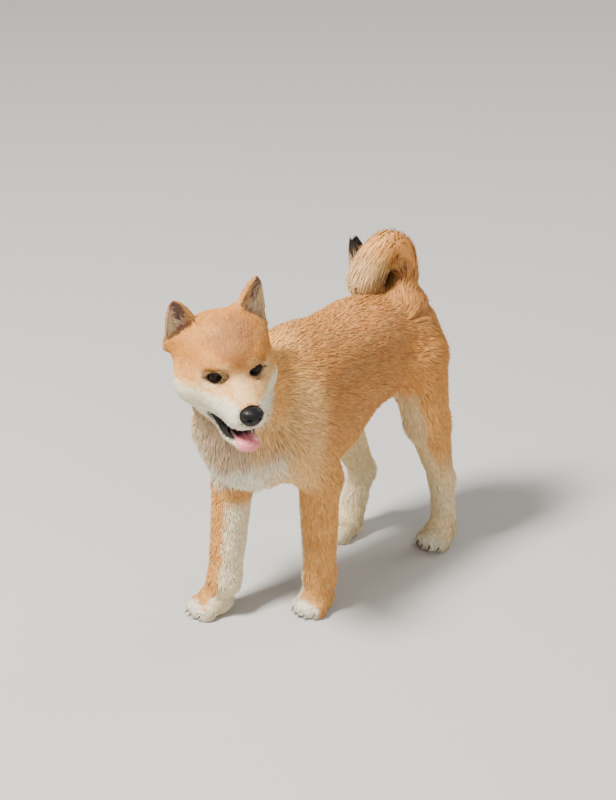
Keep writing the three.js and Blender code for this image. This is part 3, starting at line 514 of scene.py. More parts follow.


# The coat's colour: red first, then each marking laid over it, and painted shade and painted light in places,
# which each move the colour by their share of the way to their tone. Edges are frayed by a ripple.
def coatColour(places, normals):
    spots = inHead(places)
    x, y, z = spots.T
    shares = regionShares(places, normals)
    frayed = ripple(places, 7, 3)
    broad = ripple(places, 26, 4)
    colour = np.tile(tones["red"], (len(places), 1))

    def lay(tone, amount):
        colour[:] = colour + np.clip(amount, 0, 1)[:, None] * (tones[tone] - colour)

    isHead = np.clip(shares["head"] + shares["face"] + shares["ear"] + shares["cup"], 0, 1)
    body = 1 - isHead
    height = places[:, 2]
    lay("gold", 0.3 + 0.2 * broad + 0.3 * body * step(215, 150, height))
    back = step(205, 262, height) * step(-110, -60, places[:, 1])
    lay("sable", body * back * (0.2 + 0.14 * frayed + 0.14 * broad))
    # The flank is darker by its sable fur and, where it faces sideways away from the light, by painted shade
    flankSableShade = step(0.7, 0.95, np.abs(normals[:, 0])) * step(-66, -20, places[:, 1])
    flankSableShade = flankSableShade * step(105, 70, places[:, 1])
    lay("sable", body * flankSableShade * step(165, 190, height) * (0.26 + 0.1 * frayed))
    facing = normals @ unit([-0.12, -0.9, -0.35])
    front = step(0.3, 0.7, facing + 0.08 * frayed) * step(-60, -84, places[:, 1]) * step(132, 146, height)
    middle = np.abs(places[:, 0] + 8)
    # painted shadow of the head: the throat and the front of the neck take a darkened cream
    lay("throatShade", 0.85 * front * step(250, 225, height) * step(50, 38, middle + 4 * frayed))
    low = step(182, 166, height + 4 * frayed - 0.6 * middle)
    lay("white", 0.9 * body * front * low * step(56, 46, middle + 3 * frayed))
    lay("cream", 0.85 * body * step(-0.45, -0.85, normals[:, 2]) * step(110, 130, height))
    inward = -np.sign(places[:, 0]) * normals[:, 0]
    leg = shares["leg"] + shares["paw"]
    hind = step(20, 60, places[:, 1])
    inside = step(0.2, 0.6, inward + 0.12 * frayed - 0.2 * hind * normals[:, 1])
    lay("cream", 0.9 * leg * inside * np.maximum(hind, step(128, 112, height)))
    thigh = step(-0.2, 0.3, inward - 0.8 * normals[:, 1] + 0.1 * frayed + 0.35 * step(125, 75, height))
    lay("cream", 0.85 * hind * step(215, 165, height) * thigh)
    lay("cream", 0.75 * hind * step(125, 80, height))
    # Pale fur of the inner front legs and low hind legs, whitened further as painted light where light falls
    pale = 0.5 * inside * (1 - hind) * step(128, 112, height) + 0.25 * hind * step(90, 60, height)
    lay("white", leg * pale)
    ruff = body * step(-30, -62, places[:, 1]) * step(130, 160, height) * (1 - front)
    lay("gold", 0.8 * ruff)
    # painted light: the upper ruff is made lighter still with cream, where light falls on the neck's side
    lay("cream", 0.28 * ruff * step(262, 236, height))
    for (footX, footY), heading in feet.values():
        turn = math.radians(heading)
        ahead = (places[:, 0] - footX) * math.sin(turn) - (places[:, 1] - footY) * math.cos(turn)
        near = step(34, 28, np.hypot(places[:, 0] - footX, places[:, 1] - footY))
        lay("white", near * step(10, 17, ahead + 1.5 * frayed) * step(24, 16, height))
    level = 11.5 - 6 * step(22, 36, np.abs(x))
    fold = np.minimum(0.8 * np.abs(x) - (z + 11), -(z + level)) + 1.2 * frayed + 2 * broad
    lay("gold", isHead * 0.75 * step(-9, 0, fold))
    white = isHead * step(0, 5, fold) * step(38, 24, y - 0.3 * (z + 20)) * step(47, 40, x - 0.25 * (z + 20))
    lay("white", 0.95 * white * step(-66, -52, z))
    bridge = step(9, 4, np.abs(x)) * step(4, -4, y) * step(-22, -12, z)
    lay("gold", isHead * 0.5 * bridge)
    lay("crown", 0.55 * (shares["head"] + 0.6 * shares["face"]) * step(6, 16, z))
    crown = np.hypot(x / (6 + 0.5 * np.maximum(z, 0)), (z - 26) / 18)
    crown = step(1.25, 0.65, crown + 0.1 * frayed) * step(34, 14, y) * isHead
    lay("red", crown)
    lay("sable", 0.5 * crown + 0.16 * shares["head"] * step(4, 24, z))
    under = step(10, 16, np.abs(x)) * step(-1, -6, z) * step(-22, -14, z) * step(16, 6, y)
    lay("cream", 0.4 * under * isHead)
    inner = step(13, 8, np.abs(x)) * step(9, 1, y) * step(-17, -10, z) * step(9, 2, z)
    lay("cream", 0.45 * inner * isHead)
    brow = np.exp(-((np.abs(x) - 13) / 5.5) ** 2 - ((z - 10.5) / 4) ** 2) * step(16, 4, y)
    lay("gold", 0.9 * brow)
    # The cream round and over the eyes is pale fur, lightened further as painted light against socket and
    # brow shade
    lay("cream", isHead * (0.25 * brow + 0.55 * step(18, 12, eyeDistance(spots)) * step(12, 2, z)))
    lay("gold", 0.2 * shares["head"] * step(0.2, 0.9, broad))
    for ear, t, s, d in onEars(spots):
        lay("sable", shares["ear"] * 0.35 * step(0.4, 1, t) * (np.abs(s) < 30) * (t < 1.3))
        cup = shares["cup"] * (t > 0) * (t < 1.2) * (np.abs(d) < 20)
        lay("cup", cup)
        # painted shade deep in the cup's hollow: a dark band centred across the ear at its shade
        dark = step(0.3, 0.5, t + 0.1 * broad) * step(10, 4, np.abs(s - ear["shade"]))
        lay("black", 0.66 * cup * dark)
        lay("cream", 0.75 * cup * np.maximum(step(2, 8, s), step(0.22, 0.1, t)))
        lay("gold", 0.85 * cup * step(ear["shade"] - 1, ear["shade"] - 6, s))
    index, s, away = nearTail(places)
    tail = shares["tail"]
    lay("gold", 0.55 * tail * step(0.3, 0.42, s))
    lay("cream", 0.6 * tail * step(0.38, 0.52, s + 0.04 * frayed))
    # painted shade: sable and black on the inner side of the curl's bend, where the tail shades itself
    curl = unit(np.gradient(tailAlong, axis=0))[index]
    inner = (unit(places - tailLine[index]) * curl).sum(axis=1) * step(0.14, 0.24, s)
    lay("sable", 0.9 * tail * step(0, 0.7, inner + 0.1 * frayed) * step(0.66, 0.5, s))
    lay("black", 0.6 * tail * step(0.3, 0.9, inner + 0.1 * frayed) * step(0.55, 0.4, s))
    lay("black", tail * step(0.78, 0.86, s + 0.02 * frayed))
    # painted shade: black in the hole of the tail's curl
    gap = np.linalg.norm((places - gapSettings["middle"]) / gapSettings["shape"], axis=1)
    lay("black", 0.7 * step(14, 6, gap) * (0.8 + 0.3 * frayed))
    lay("lip", step(1.5, 0.6, lipDistance(spots)) * step(14, 9, y) * isHead)
    across, ahead, up = eyePlaces(spots).T
    # painted light: the socket round the eye is made paler, most on its inner side, against the shade of its
    # hollow
    socket = isHead * (ahead > 0) * step(15, 11, eyeDistance(spots))
    lay("cream", socket * (0.45 + 0.4 * step(2, -4, across)))
    lay("lip", 0.95 * isHead * step(1.28, 1.12, almondShare(spots)))
    line = bell(up - lidSettings["tilt"] * across + 0.6, 0.9) * step(11.5, 8, across) * (across > 0)
    lay("lip", 0.75 * isHead * line * (ahead > 0) * step(15, 13, eyeDistance(spots)))
    lay("lip", isHead * step(1.3, 0.5, noseDistance(spots)))
    return np.clip(colour, 0, 1)


# Splits a colour into hairs: it is scaled by a noise stretched into streaks, from 1 less the depth up to 1
def streakGroup():
    group = bpy.data.node_groups.new("coatStreaks", "ShaderNodeTree")
    for name, kind, way in [("Colour", "NodeSocketColor", "INPUT"), ("Scale", "NodeSocketFloat", "INPUT"),
                            ("Depth", "NodeSocketFloat", "INPUT"), ("Colour", "NodeSocketColor", "OUTPUT"),
                            ("Height", "NodeSocketFloat", "OUTPUT")]:
        group.interface.new_socket(name, in_out=way, socket_type=kind)
    start, end, place, squash, noise, spread, lowest, tint = (group.nodes.new(kind) for kind in (
        "NodeGroupInput", "NodeGroupOutput", "ShaderNodeTexCoord", "ShaderNodeMapping", "ShaderNodeTexNoise",
        "ShaderNodeMapRange", "ShaderNodeMath", "ShaderNodeVectorMath"))
    squash.inputs["Scale"].default_value = (1.6, 0.45, 0.8)
    noise.inputs["Detail"].default_value = 4
    spread.inputs["From Min"].default_value = 0.3
    spread.inputs["From Max"].default_value = 0.7
    lowest.operation = "SUBTRACT"
    lowest.inputs[0].default_value = 1
    tint.operation = "SCALE"
    for giver, output, taker, socket in [
            (place, "Object", squash, "Vector"), (squash, "Vector", noise, "Vector"),
            (start, "Scale", noise, "Scale"), (noise, "Fac", spread, "Value"), (start, "Depth", lowest, 1),
            (lowest, 0, spread, "To Min"), (start, "Colour", tint, 0), (spread, "Result", tint, "Scale"),
            (tint, 0, end, "Colour"), (noise, "Fac", end, "Height")]:
        group.links.new(giver.outputs[output], taker.inputs[socket])
    return group


streaks = streakGroup()


# A Principled material. With streaks its colour comes from the painted attribute through the group.
def material(name, colour=None, rough=0.6, streak=None, bump=0.0, coat=0.0, specular=0.5):
    made = bpy.data.materials.new(name)
    made.use_nodes = True
    nodes, links = made.node_tree.nodes, made.node_tree.links
    shader = nodes["Principled BSDF"]
    shader.inputs["Roughness"].default_value = rough
    shader.inputs["Coat Weight"].default_value = coat
    shader.inputs["Coat Roughness"].default_value = 0.06
    shader.inputs["Specular IOR Level"].default_value = specular
    if colour is not None:
        shader.inputs["Base Color"].default_value = (*colour, 1)
    if streak is not None:
        scale, depth = streak
        hairs = nodes.new("ShaderNodeGroup")
        hairs.node_tree = streaks
        hairs.inputs["Scale"].default_value = scale
        hairs.inputs["Depth"].default_value = depth
        hairs.inputs["Colour"].default_value = (*(colour or (1, 1, 1)), 1)
        if colour is None:
            painted = nodes.new("ShaderNodeAttribute")
            painted.attribute_name = "coatColour"
            links.new(painted.outputs["Color"], hairs.inputs["Colour"])
        links.new(hairs.outputs["Colour"], shader.inputs["Base Color"])
        if bump:
            raised = nodes.new("ShaderNodeBump")
            raised.inputs["Strength"].default_value = bump
            raised.inputs["Distance"].default_value = 0.001
            links.new(hairs.outputs["Height"], raised.inputs["Height"])
            links.new(raised.outputs["Normal"], shader.inputs["Normal"])
    return made


skinSettings = {"voxel": 1.35, "closing": 0.3, "fineBelow": 0.4, "most": 196000, "nodes": [
    "head", "lower_jaw", "ear_left", "ear_right", "neck", "torso", "leg_front_left", "leg_front_right",
    "leg_hind_left", "leg_hind_right", "paw_front_left", "paw_front_right", "paw_hind_left", "paw_hind_right",
    "tail_base"]}


# The coat's depth over the skin: 0.92 of the rise of its tufts, little in an ear's cup and at the lips, and
# none at the eyes, nose, tail's core and soles
def depthOf(places, shares):
    spots = inHead(places)
    left = sum(shares[name] * coatSettings[name][3] for name in ("cup", "tail"))
    depth = 0.92 * (coatValue(shares, 3) - left) + 0.4 * shares["cup"]
    bare = np.maximum(step(15, 11, eyeDistance(spots)), step(3, 1, noseDistance(spots)))
    bare = np.maximum(bare, step(3, 1, mouthDistance(spots)) * step(16, 10, spots[:, 1]))
    onHead = shares["face"] + shares["head"] > 0.5
    bare = np.maximum(bare * onHead, step(3, 1, places[:, 2]))
    lips = step(0.5, -1.5, lipDistance(spots)) * step(0, 1.5, mouthDistance(spots)) * step(12, 8, spots[:, 1])
    return np.maximum(depth * (1 - bare), 1.3 * lips * onHead)


# 0 up to the near distance from the open mouth's wedge, 1 past the far one
def openness(places, near, far):
    spots = inHead(places)
    return 1 - step(far, near, mouthDistance(spots)) * step(12, 6, spots[:, 1]) * step(60, 50, -spots[:, 1])


# The fleshy lid round an eye: a closed shell on a ball a little larger than the eyeball, from the almond's
# edge out to where the face's skin takes over. Each ring is a share of the almond, and reaches so far from
# the middle of the eye: out over the ball and back behind it.
shellSettings = {"shares": (1.12, 1.3, 1.5, 1.75, 1.75, 1.5, 1.12),
                 "reach": (0.2, 0.9, 1.0, -0.2, -3.4, -3.2, -2.4), "spokes": 48}


def lidShell(side):
    reach = np.array(shellSettings["reach"]) + lidSettings["skin"] - 1
    edge = almondEdge(turns(shellSettings["spokes"]))
    across, up = (np.array(shellSettings["shares"])[:, None] * row for row in edge)
    ahead = np.sqrt(np.maximum(lidSettings["skin"] ** 2 - across**2 - up**2, 2))
    local = unit(np.stack([across, ahead, up], -1)) * reach[:, None, None]
    quads = ringQuads(len(reach), shellSettings["spokes"], closed=True, flipped=True)
    return fromEye(local, side), split(quads if side > 0 else quads[:, ::-1])


# The flesh between an eye's inner corner and the bridge of the nose: a closed ellipsoid beside the eyeball
cornerSettings = {"middle": (9.5, 0.8, -0.3), "half": (3.7, 4.4, 5.2), "rings": 13, "spokes": 24}


def cornerFlesh(side):
    polar = np.linspace(0, math.pi, cornerSettings["rings"])[:, None]
    turn = turns(cornerSettings["spokes"])
    rings = [np.sin(polar) * np.cos(turn), np.cos(polar) + 0 * turn, np.sin(polar) * np.sin(turn)]
    spots = np.stack(rings, -1).reshape(-1, 3) * cornerSettings["half"] + cornerSettings["middle"]
    quads = ringQuads(cornerSettings["rings"], cornerSettings["spokes"])
    return fromHead(spots * [side, 1, 1]), split(quads if side > 0 else quads[:, ::-1])


# The flesh nodes, each grown along its normals by a little so that their gaps close, with the tail's core and
# the flesh at the eyes, as one remeshed skin. It is smoothed, more on the body than on the head, drawn in
# along its normals by the coat's depth, and thinned under the long coat of the body.
def skinArrays(settings):
    parts = [tailTube(), lidShell(1), lidShell(-1), cornerFlesh(1), cornerFlesh(-1)]
    for name in settings["nodes"]:
        places, triangles = nodeArrays(name)
        growth = settings["closing"] * openness(places, 0.1, 0.8)
        parts.append((places + growth[:, None] * cornerNormals(places, triangles), triangles))
    starts = np.cumsum([0] + [len(places) for places, _ in parts[:-1]])
    allPlaces = np.concatenate([places for places, _ in parts])
    allTriangles = np.concatenate([triangles + start for (_, triangles), start in zip(parts, starts)])
    places, quads = remeshed(allPlaces, allTriangles, settings["voxel"])
    normals = cornerNormals(places, split(quads))
    shares = regionShares(places, normals)
    fine = shares["face"] + shares["ear"] + shares["cup"] + 0.7 * shares["paw"] + 0.5 * shares["head"]
    fine = np.maximum(fine, 1 - openness(places, 4, 8)) * (1 - 0.85 * earRoot(inHead(places)))
    places = relaxed(places, quads, 0.45 * np.clip(1 - fine, 0, 1) + 0.02, 14)
    places = relaxed(places, quads, 0.1 + 0.25 * openness(places, 1, 3), 3)
    normals = cornerNormals(places, split(quads))
    places = places - normals * depthOf(places, regionShares(places, normals))[:, None]
    places = relaxed(places, quads, 0.4 * np.clip(1 - fine, 0, 1) + 0.05, 3)
    places[:, 2] = np.maximum(places[:, 2], 0.15)
    places, triangles = thinned(places, quads, fine < settings["fineBelow"], settings["most"])
    return places, triangles, cornerNormals(places, triangles)


skinPlaces, skinFaces, skinNormals = skinArrays(skinSettings)
print("skin worked out:", len(skinFaces), "triangles")


# The unwrap: each region has a row of six cells, one for each side that a place's normal faces most. Inside
# a cell a place sits by its two other distances, as a share of the region's longest side.
unwrapNames = ["Head", "Trunk", "FrontLeft", "FrontRight", "HindLeft", "HindRight", "Tail"]
unwrapBoxes = {}   # each row's lowest corner and longest side, filled in by addSkin


# A place's row: the tail and head by their shares, the trunk over the legs, and the legs by their corner
def unwrapRow(places, shares):
    isHead = shares["head"] + shares["face"] + shares["ear"] + shares["cup"] > 0.5
    row = np.where(places[:, 1] < 20, 2, 4) + (places[:, 0] < 0)
    row = np.where(places[:, 2] > 140, 1, row)
    return np.where(shares["tail"] > 0.5, 6, np.where(isHead, 0, row))


# A place's row, and its column: twice the axis its normal faces most, and one more where it faces down it
def unwrapCell(places, normals):
    side = np.abs(normals).argmax(axis=1)
    column = 2 * side + (np.take_along_axis(normals, side[:, None], 1)[:, 0] < 0)
    return unwrapRow(places, regionShares(places, normals)), column


# A place's spot in the unwrap, inset by 0.04 of its cell
def unwrapped(places, row, column):
    low = np.stack([unwrapBoxes[number][0] for number in range(len(unwrapNames))])[row]
    span = np.array([unwrapBoxes[number][1] for number in range(len(unwrapNames))])[row]
    share = (places - low) / span[:, None]
    side = column // 2
    u = np.where(side == 0, share[:, 1], share[:, 0])
    v = np.where(side == 2, share[:, 1], share[:, 2])
    inset = 0.04 + 0.92 * np.stack([u, v], 1).clip(0, 1)
    return (inset + np.stack([column, row], 1)) / [6, len(unwrapNames)]


# Whether a place is bare, with margins in millimetres: in an eye's opening, at the nose, or at the lips
def bareAt(places, shares, margin, lipMargin):
    spots = inHead(places)
    lips = (lipDistance(spots) < lipMargin) & (spots[:, 1] < 9)
    bare = lips | (almondShare(spots) < 1.1 + 0.1 * margin) | (noseDistance(spots) < margin)
    return bare & (shares["face"] + shares["head"] > 0.3)


# How the roots are spread: more of them at the eyes and where the fur parts behind the tail's root
rootSettings = {"seed": 11, "quickShare": 0.3, "atEye": 1.3, "eyeSize": 13, "atParting": 1.0,
                "partingSize": 20, "parting": (-5, 139, 256)}


# Roots spread evenly over the skin by its density: equal steps along the running sum of density times area
def spreadRoots(places, triangles, normals, draws):
    corners = places[triangles]
    area = np.linalg.norm(np.cross(corners[:, 1] - corners[:, 0], corners[:, 2] - corners[:, 0]), axis=1) / 2
    middle = corners.mean(axis=1)
    facing = unit(normals[triangles].sum(axis=1))
    shares = regionShares(middle, facing)
    bare = bareAt(middle, shares, 0.8, 0.8) | ((middle[:, 2] < 2.5) & (facing[:, 2] < -0.6))
    atEye = bell(eyeDistance(inHead(middle)), rootSettings["eyeSize"], 4)
    parting = np.linalg.norm(middle - rootSettings["parting"], axis=1)
    atParting = bell(parting, rootSettings["partingSize"], 4)
    more = 1 + rootSettings["atEye"] * atEye + rootSettings["atParting"] * atParting
    density = coatValue(shares, 0) * area * ~bare * more
    for ear, t, s, d in onEars(inHead(middle)):
        width = earWidth(t)
        inner = step(0.42, 0.12, t) * step(width - 1, width - 4, np.abs(s)) + 0.05
        density = density * np.where((np.abs(s) < 30) & (shares["cup"] > 0.3), inner, 1)
    running = np.cumsum(density)
    count = int(running[-1])
    chosen = np.searchsorted(running, (np.arange(count) + draws.random(count)) * running[-1] / count)
    chosen = np.minimum(chosen, len(triangles) - 1)
    u, v = np.sqrt(draws.random(count)), draws.random(count)
    weights = np.stack([1 - u, u * (1 - v), u * v], 1)[:, :, None]
    return (corners[chosen] * weights).sum(axis=1), unit((normals[triangles[chosen]] * weights).sum(axis=1))


# The way of a tuft over the body: its root, middle and tip. At a share t of its length it has gone t along
# the lie, risen by 1 - (1 - t)^1.6 of its rise from 0.6 mm under the skin, and bent to a side by t squared.
def bodyWays(roots, normals, lie, length, rise, bend):
    across = np.cross(normals, lie)
    ways = []
    for t in (0, 0.5, 1):
        up = (rise + 0.6) * (1 - (1 - t) ** 1.6) - 0.6
        along = roots + lie * (length * t)[:, None]
        ways.append(along + normals * up[:, None] + across * (length * bend * t * t)[:, None])
    return np.stack(ways), np.stack([normals, normals, unit(normals + 0.3 * lie)])


# The way of a tuft of the tail follows the tail's bends: at each share of its length it keeps its angle
# round the middle line, and goes from the core out to the brush's outline, and further out on the inner
# side of a bend, so that the tufts there close the curl.
def tailWays(roots, length, rise, bend):
    last = tailSettings["steps"] - 1
    one = unit(np.array([1.0, 0, 0]) - tailAlong * tailAlong[:, :1])
    two = np.cross(tailAlong, one)
    index, s, away = nearTail(roots)
    offset = roots - tailLine[index]
    angle = np.arctan2((offset * two[index]).sum(1), (offset * one[index]).sum(1))
    curl = np.gradient(tailAlong, axis=0) / (tailLength / last)
    ways, outs = [roots - 0.6 * unit(offset)], [unit(offset)]
    for t in (0.5, 1):
        reach = index + length * t / tailLength * last
        spot = np.minimum(reach, last).astype(int)
        turn = angle + bend * t
        out = np.cos(turn)[:, None] * one[spot] + np.sin(turn)[:, None] * two[spot]
        outline = tailOutline(reach / last)
        radius = outline * (tailSettings["core"] + (1.0 - tailSettings["core"]) * t**0.7 * rise)
        inward = np.clip(25 * (curl[spot] * out).sum(1), 0, 1) * step(0.12, 0.25, reach / last)
        radius = radius * (1 + 0.55 * inward * t * step(0.75, 0.6, reach / last))
        past = np.maximum(reach - last, 0) * tailLength / last
        ways.append(tailLine[spot] + tailAlong[spot] * past[:, None] + out * radius[:, None])
        outs.append(out)
    return np.stack(ways), np.stack(outs)


# A tuft is a flat, closed spike of three sides: rings of three points round its root and middle, and its tip.
# Its shading normals are mostly those of the coat under it, as hairs catch light over their whole length.
tuftSettings = {"wide": (0.75, 1.0), "flat": 0.34, "soft": 0.72, "points": 7, "most": 19000}
tuftFaces = np.array([[0, 2, 1], [0, 1, 4], [0, 4, 3], [1, 2, 5], [1, 5, 4], [2, 0, 3], [2, 3, 5],
                      [3, 4, 6], [4, 5, 6], [5, 3, 6]])


def tuftArrays(ways, outs, width):
    across = unit(np.cross(outs[:2], ways[1:] - ways[:2]))
    rows, sides = [], []
    for ring, wide in enumerate(tuftSettings["wide"]):
        for turn in (90, 210, 330):
            side = across[ring] * math.cos(math.radians(turn))
            side = side + outs[ring] * math.sin(math.radians(turn)) * tuftSettings["flat"]
            rows.append(ways[ring] + side * (0.5 * width * wide)[:, None])
            sides.append(tuftSettings["soft"] * outs[ring] + (1 - tuftSettings["soft"]) * unit(side))
    rows.append(ways[2])
    sides.append(outs[2])
    faces = (tuftFaces[None] + tuftSettings["points"] * np.arange(len(width))[:, None, None]).reshape(-1, 3)
    return np.stack(rows, 1).reshape(-1, 3), faces, unit(np.stack(sides, 1)).reshape(-1, 3)


# Tufts take the markings at their root, each times a draw of its own: darker at the root as painted shade
# among the hairs, 1.12 times as light at the tip. A share of those on the back is tipped with the sable tone.
def tuftColours(roots, normals, draws):
    base = coatColour(roots, normals)
    tone = (1 + 0.11 * draws.normal(size=len(roots))).clip(0.65, 1.35)
    warm = 1 + 0.05 * draws.normal(size=(len(roots), 3))
    shares = regionShares(roots, normals)
    pale = 0.75 * shares["cup"]
    for ear, t, s, d in onEars(inHead(roots)):
        pale = pale * np.where((np.abs(d) < 20) & (np.abs(s) < 30), 0.15 + 0.85 * step(-6, -1, s), 1)
    base = base + pale[:, None] * (0.5 * tones["cream"] + 0.45 * tones["white"] - base)
    base = base * tone[:, None] * warm
    back = (shares["trunk"] + shares["neck"]) * step(170, 250, roots[:, 2])
    tipped = draws.random(len(roots)) < 0.28 * back
    tip = np.where(tipped[:, None], 0.45 * base + 0.3 * tones["sable"], base * 1.12)
    # painted shade at the roots: less on the face, in the ears' cups and on pale fur
    dark = 0.7 + 0.12 * shares["face"] + 0.15 * shares["cup"] + 0.25 * step(0.25, 0.6, base[:, 2])
    rows = [base * np.minimum(dark, 0.95)[:, None]] * 3 + [base * 0.97] * 3 + [tip]
    return np.stack(rows, 1).reshape(-1, 3).clip(0, 1)


# The piece of the coat that a tuft belongs to: its row of the unwrap, with the face apart from the head,
# and the neck and rump apart from the trunk
def coatArea(roots, shares):
    row = unwrapRow(roots, shares)
    names = np.array(unwrapNames)[row]
    names = np.where((row == 0) & (shares["face"] > 0.5), "Face", names)
    names = np.where((row == 1) & (roots[:, 1] < -55), "Neck", names)
    names = np.where((row == 1) & (roots[:, 1] > 85), "Rump", names)
    return names


# The coat: tufts with their region's length, width and rise times draws of their own, shorter at the ears'
# tips and brims and at the tail's end, in pieces of even counts. Each has a small spot of the unwrap.
def addCoat(finish):
    draws = np.random.default_rng(rootSettings["seed"])
    roots, normals = spreadRoots(skinPlaces, skinFaces, skinNormals, draws)
    shares = regionShares(roots, normals)
    lie = lieOf(roots, normals, shares)
    count = len(roots)
    length, wide, rise = (coatValue(shares, column) for column in (1, 2, 3))
    onTail = shares["tail"] > 0.5
    index, s, away = nearTail(roots)
    short = np.clip(1.35 - 0.9 * step(0.7, 1.0, s), 0, 1)
    length = length * np.where(onTail, short, 1) * draws.uniform(0.75, 1.2, count)
    for ear, t, s, d in onEars(inHead(roots)):
        onEar = (shares["ear"] + shares["cup"] > 0.5) & (np.abs(s) < 30) & (np.abs(d) < 25)
        brim = shares["cup"] * step(earWidth(t) - 7, earWidth(t) - 3, np.abs(s))
        length = length * np.where(onEar, (1 - 0.6 * step(0.55, 0.9, t)) * (1 - 0.55 * brim), 1)
    wide = wide * draws.uniform(0.7, 1.25, count) * 1
    rise = rise * draws.uniform(0.65, 1.12, count) * (1 + 0.12 * ripple(roots, 12, 8))
    colours = tuftColours(roots, normals, draws)
    row, column = unwrapCell(roots, normals)
    bake = unwrapped(roots, row, column)
    names = coatArea(roots, shares)
    bend = 0.12 * draws.normal(size=count)
    ways, outs = bodyWays(roots, normals, lie, length, rise, bend)
    tailShares = rise[onTail] / coatSettings["tail"][3]
    ways[:, onTail], outs[:, onTail] = tailWays(roots[onTail], length[onTail], tailShares, bend[onTail])
    ways[:, :, 2] = np.maximum(ways[:, :, 2], 0.6)
    kept = ~(bareAt(ways[2], shares, 0.2, -2.2) | bareAt(ways[1], shares, 0.3, -0.6))
    for ear, t, s, d in onEars(inHead(ways[2])):
        past = (np.abs(s) > earWidth(t) - 2.5) & (np.abs(s) < 30) & (np.abs(d) < 25)
        kept &= ~((shares["cup"] > 0.2) & past)
    across = np.array([0, -1, 1, 0, -1, 1, 0]) * 0.0015
    along = np.array([-1, -1, -1, 0, 0, 0, 1]) * 0.0015
    total = 0
    for name in np.unique(names):
        mine = np.flatnonzero((names == name) & kept)
        parts = np.array_split(mine, math.ceil(len(mine) / tuftSettings["most"]))
        for number, part in enumerate(parts):
            places, faces, shading = tuftArrays(ways[:, part], outs[:, part], wide[part])
            piece = meshFrom(f"coat{name}{number + 1}", places, faces, finish)
            paint(piece, colours.reshape(-1, tuftSettings["points"], 3)[part].reshape(-1, 3))
            spots = bake[part][:, None] + np.stack([across, along], 1)[None]
            layer = piece.data.uv_layers.new(name="OFBake")
            layer.data.foreach_set("uv", spots.reshape(-1, 2)[faces.ravel()].astype(np.float32).ravel())
            piece.data.normals_split_custom_set_from_vertices(shading)
            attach(piece, "root")
            total += len(faces)
    print("coat:", total // len(tuftFaces), "tufts,", total, "triangles")


# The skin's piece takes the coat's colour, darkened by 0.28 as painted shade under the coat where it isn't
# black, and less on the face and in the cups of the ears. The boxes of the unwrap come from its places.
def addSkin(finish):
    shares = regionShares(skinPlaces, skinNormals)
    row = unwrapRow(skinPlaces, shares)
    for number in range(len(unwrapNames)):
        mine = skinPlaces[row == number]
        low, high = (mine.min(axis=0), mine.max(axis=0)) if len(mine) else (np.zeros(3), np.ones(3))
        unwrapBoxes[number] = (low, float((high - low).max()))
    piece = meshFrom("skin", skinPlaces, skinFaces, finish)
    colour = coatColour(skinPlaces, skinNormals)
    # painted shade: the skin between the tufts is darker than the coat over it
    skinShade = np.clip(colour.sum(axis=1) * 4, 0, 1) * (0.28 - 0.2 * shares["face"] - 0.2 * shares["cup"])
    paint(piece, colour * (1 - skinShade[:, None]))
    middle = skinPlaces[skinFaces].mean(axis=1)
    row, column = unwrapCell(middle, unit(skinNormals[skinFaces].sum(axis=1)))
    spots = unwrapped(skinPlaces[skinFaces].reshape(-1, 3), np.repeat(row, 3), np.repeat(column, 3))
    piece.data.uv_layers.new(name="OFBake").data.foreach_set("uv", spots.astype(np.float32).ravel())
    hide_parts(*skinSettings["nodes"], "tail_middle", "tail_tip")
    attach(piece, "root")


addSkin(material("skinFinish", rough=0.75, streak=(420, 0.35), bump=0.5, specular=0.2))
addCoat(material("coatFinish", rough=0.72, streak=(300, 0.22), specular=0.22))


# An eyeball as rings round its line of sight, raised at the front and drawn in at the back. Its colour goes
# by the angle from that line: pupil, iris, then the dark edge of the iris and a brown white.
eyeTones = {"iris": (0.026, 0.011, 0.005), "white": (0.06, 0.035, 0.02), "pupil": 0.002}


def addEye(sideName, side, finish):
    rings, spokes = 40, 48
    polar = np.linspace(0, math.pi, rings)[:, None]
    turn = turns(spokes)
    radius = eyeSettings["radius"] * (1 + 0.05 * bell(polar, 0.42) - 0.2 * step(0.85, 1.15, polar))
    local = np.stack([radius * np.sin(polar) * np.cos(turn), -radius * np.cos(polar) + 0 * turn,
                      radius * np.sin(polar) * np.sin(turn)], -1).reshape(-1, 3)
    places = fromHead(turned(local, -side * eyeSettings["gaze"]) + eyeMiddle * [side, 1, 1])
    piece = meshFrom("eyeball_" + sideName, places, ringQuads(rings, spokes, flipped=True), finish)
    angle = np.repeat(polar[:, 0], spokes)
    iris = step(0.27, 0.33, angle)[:, None] * np.array(eyeTones["iris"])
    iris = iris * (1 - 0.8 * step(0.52, 0.66, angle)[:, None])
    white = step(0.68, 0.8, angle)[:, None] * np.array(eyeTones["white"])
    paint(piece, iris + white + eyeTones["pupil"])
    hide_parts("eye_" + sideName)
    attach(piece, "root")


# A closed tube through a ring of points, with a radius at each of them
def ringTube(line, radius, sides=10):
    ahead = unit(np.roll(line, -1, 0) - np.roll(line, 1, 0))
    out = unit(line - line.mean(axis=0))
    return circles(line, ahead, out, radius, sides), ringQuads(len(line), sides, closed=True)


# The dark rims of the lids: a tube along the almond on the eyeball, 0.2 thicker at the two corners by the
# eighth power of the turn's cosine
def addLids(sideName, side, finish):
    turn = turns(64)
    across, up = (1.06 * row for row in almondEdge(turn))
    ahead = np.sqrt((eyeSettings["radius"] + 0.45) ** 2 - across**2 - up**2)
    radius = lidSettings["radius"] * (1 + 0.2 * np.cos(turn) ** 8)
    places, quads = ringTube(fromEye(np.stack([across, ahead, up], 1), side), radius)
    piece = meshFrom("lids_" + sideName, places, quads if side > 0 else quads[:, ::-1], finish)
    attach(piece, "root")


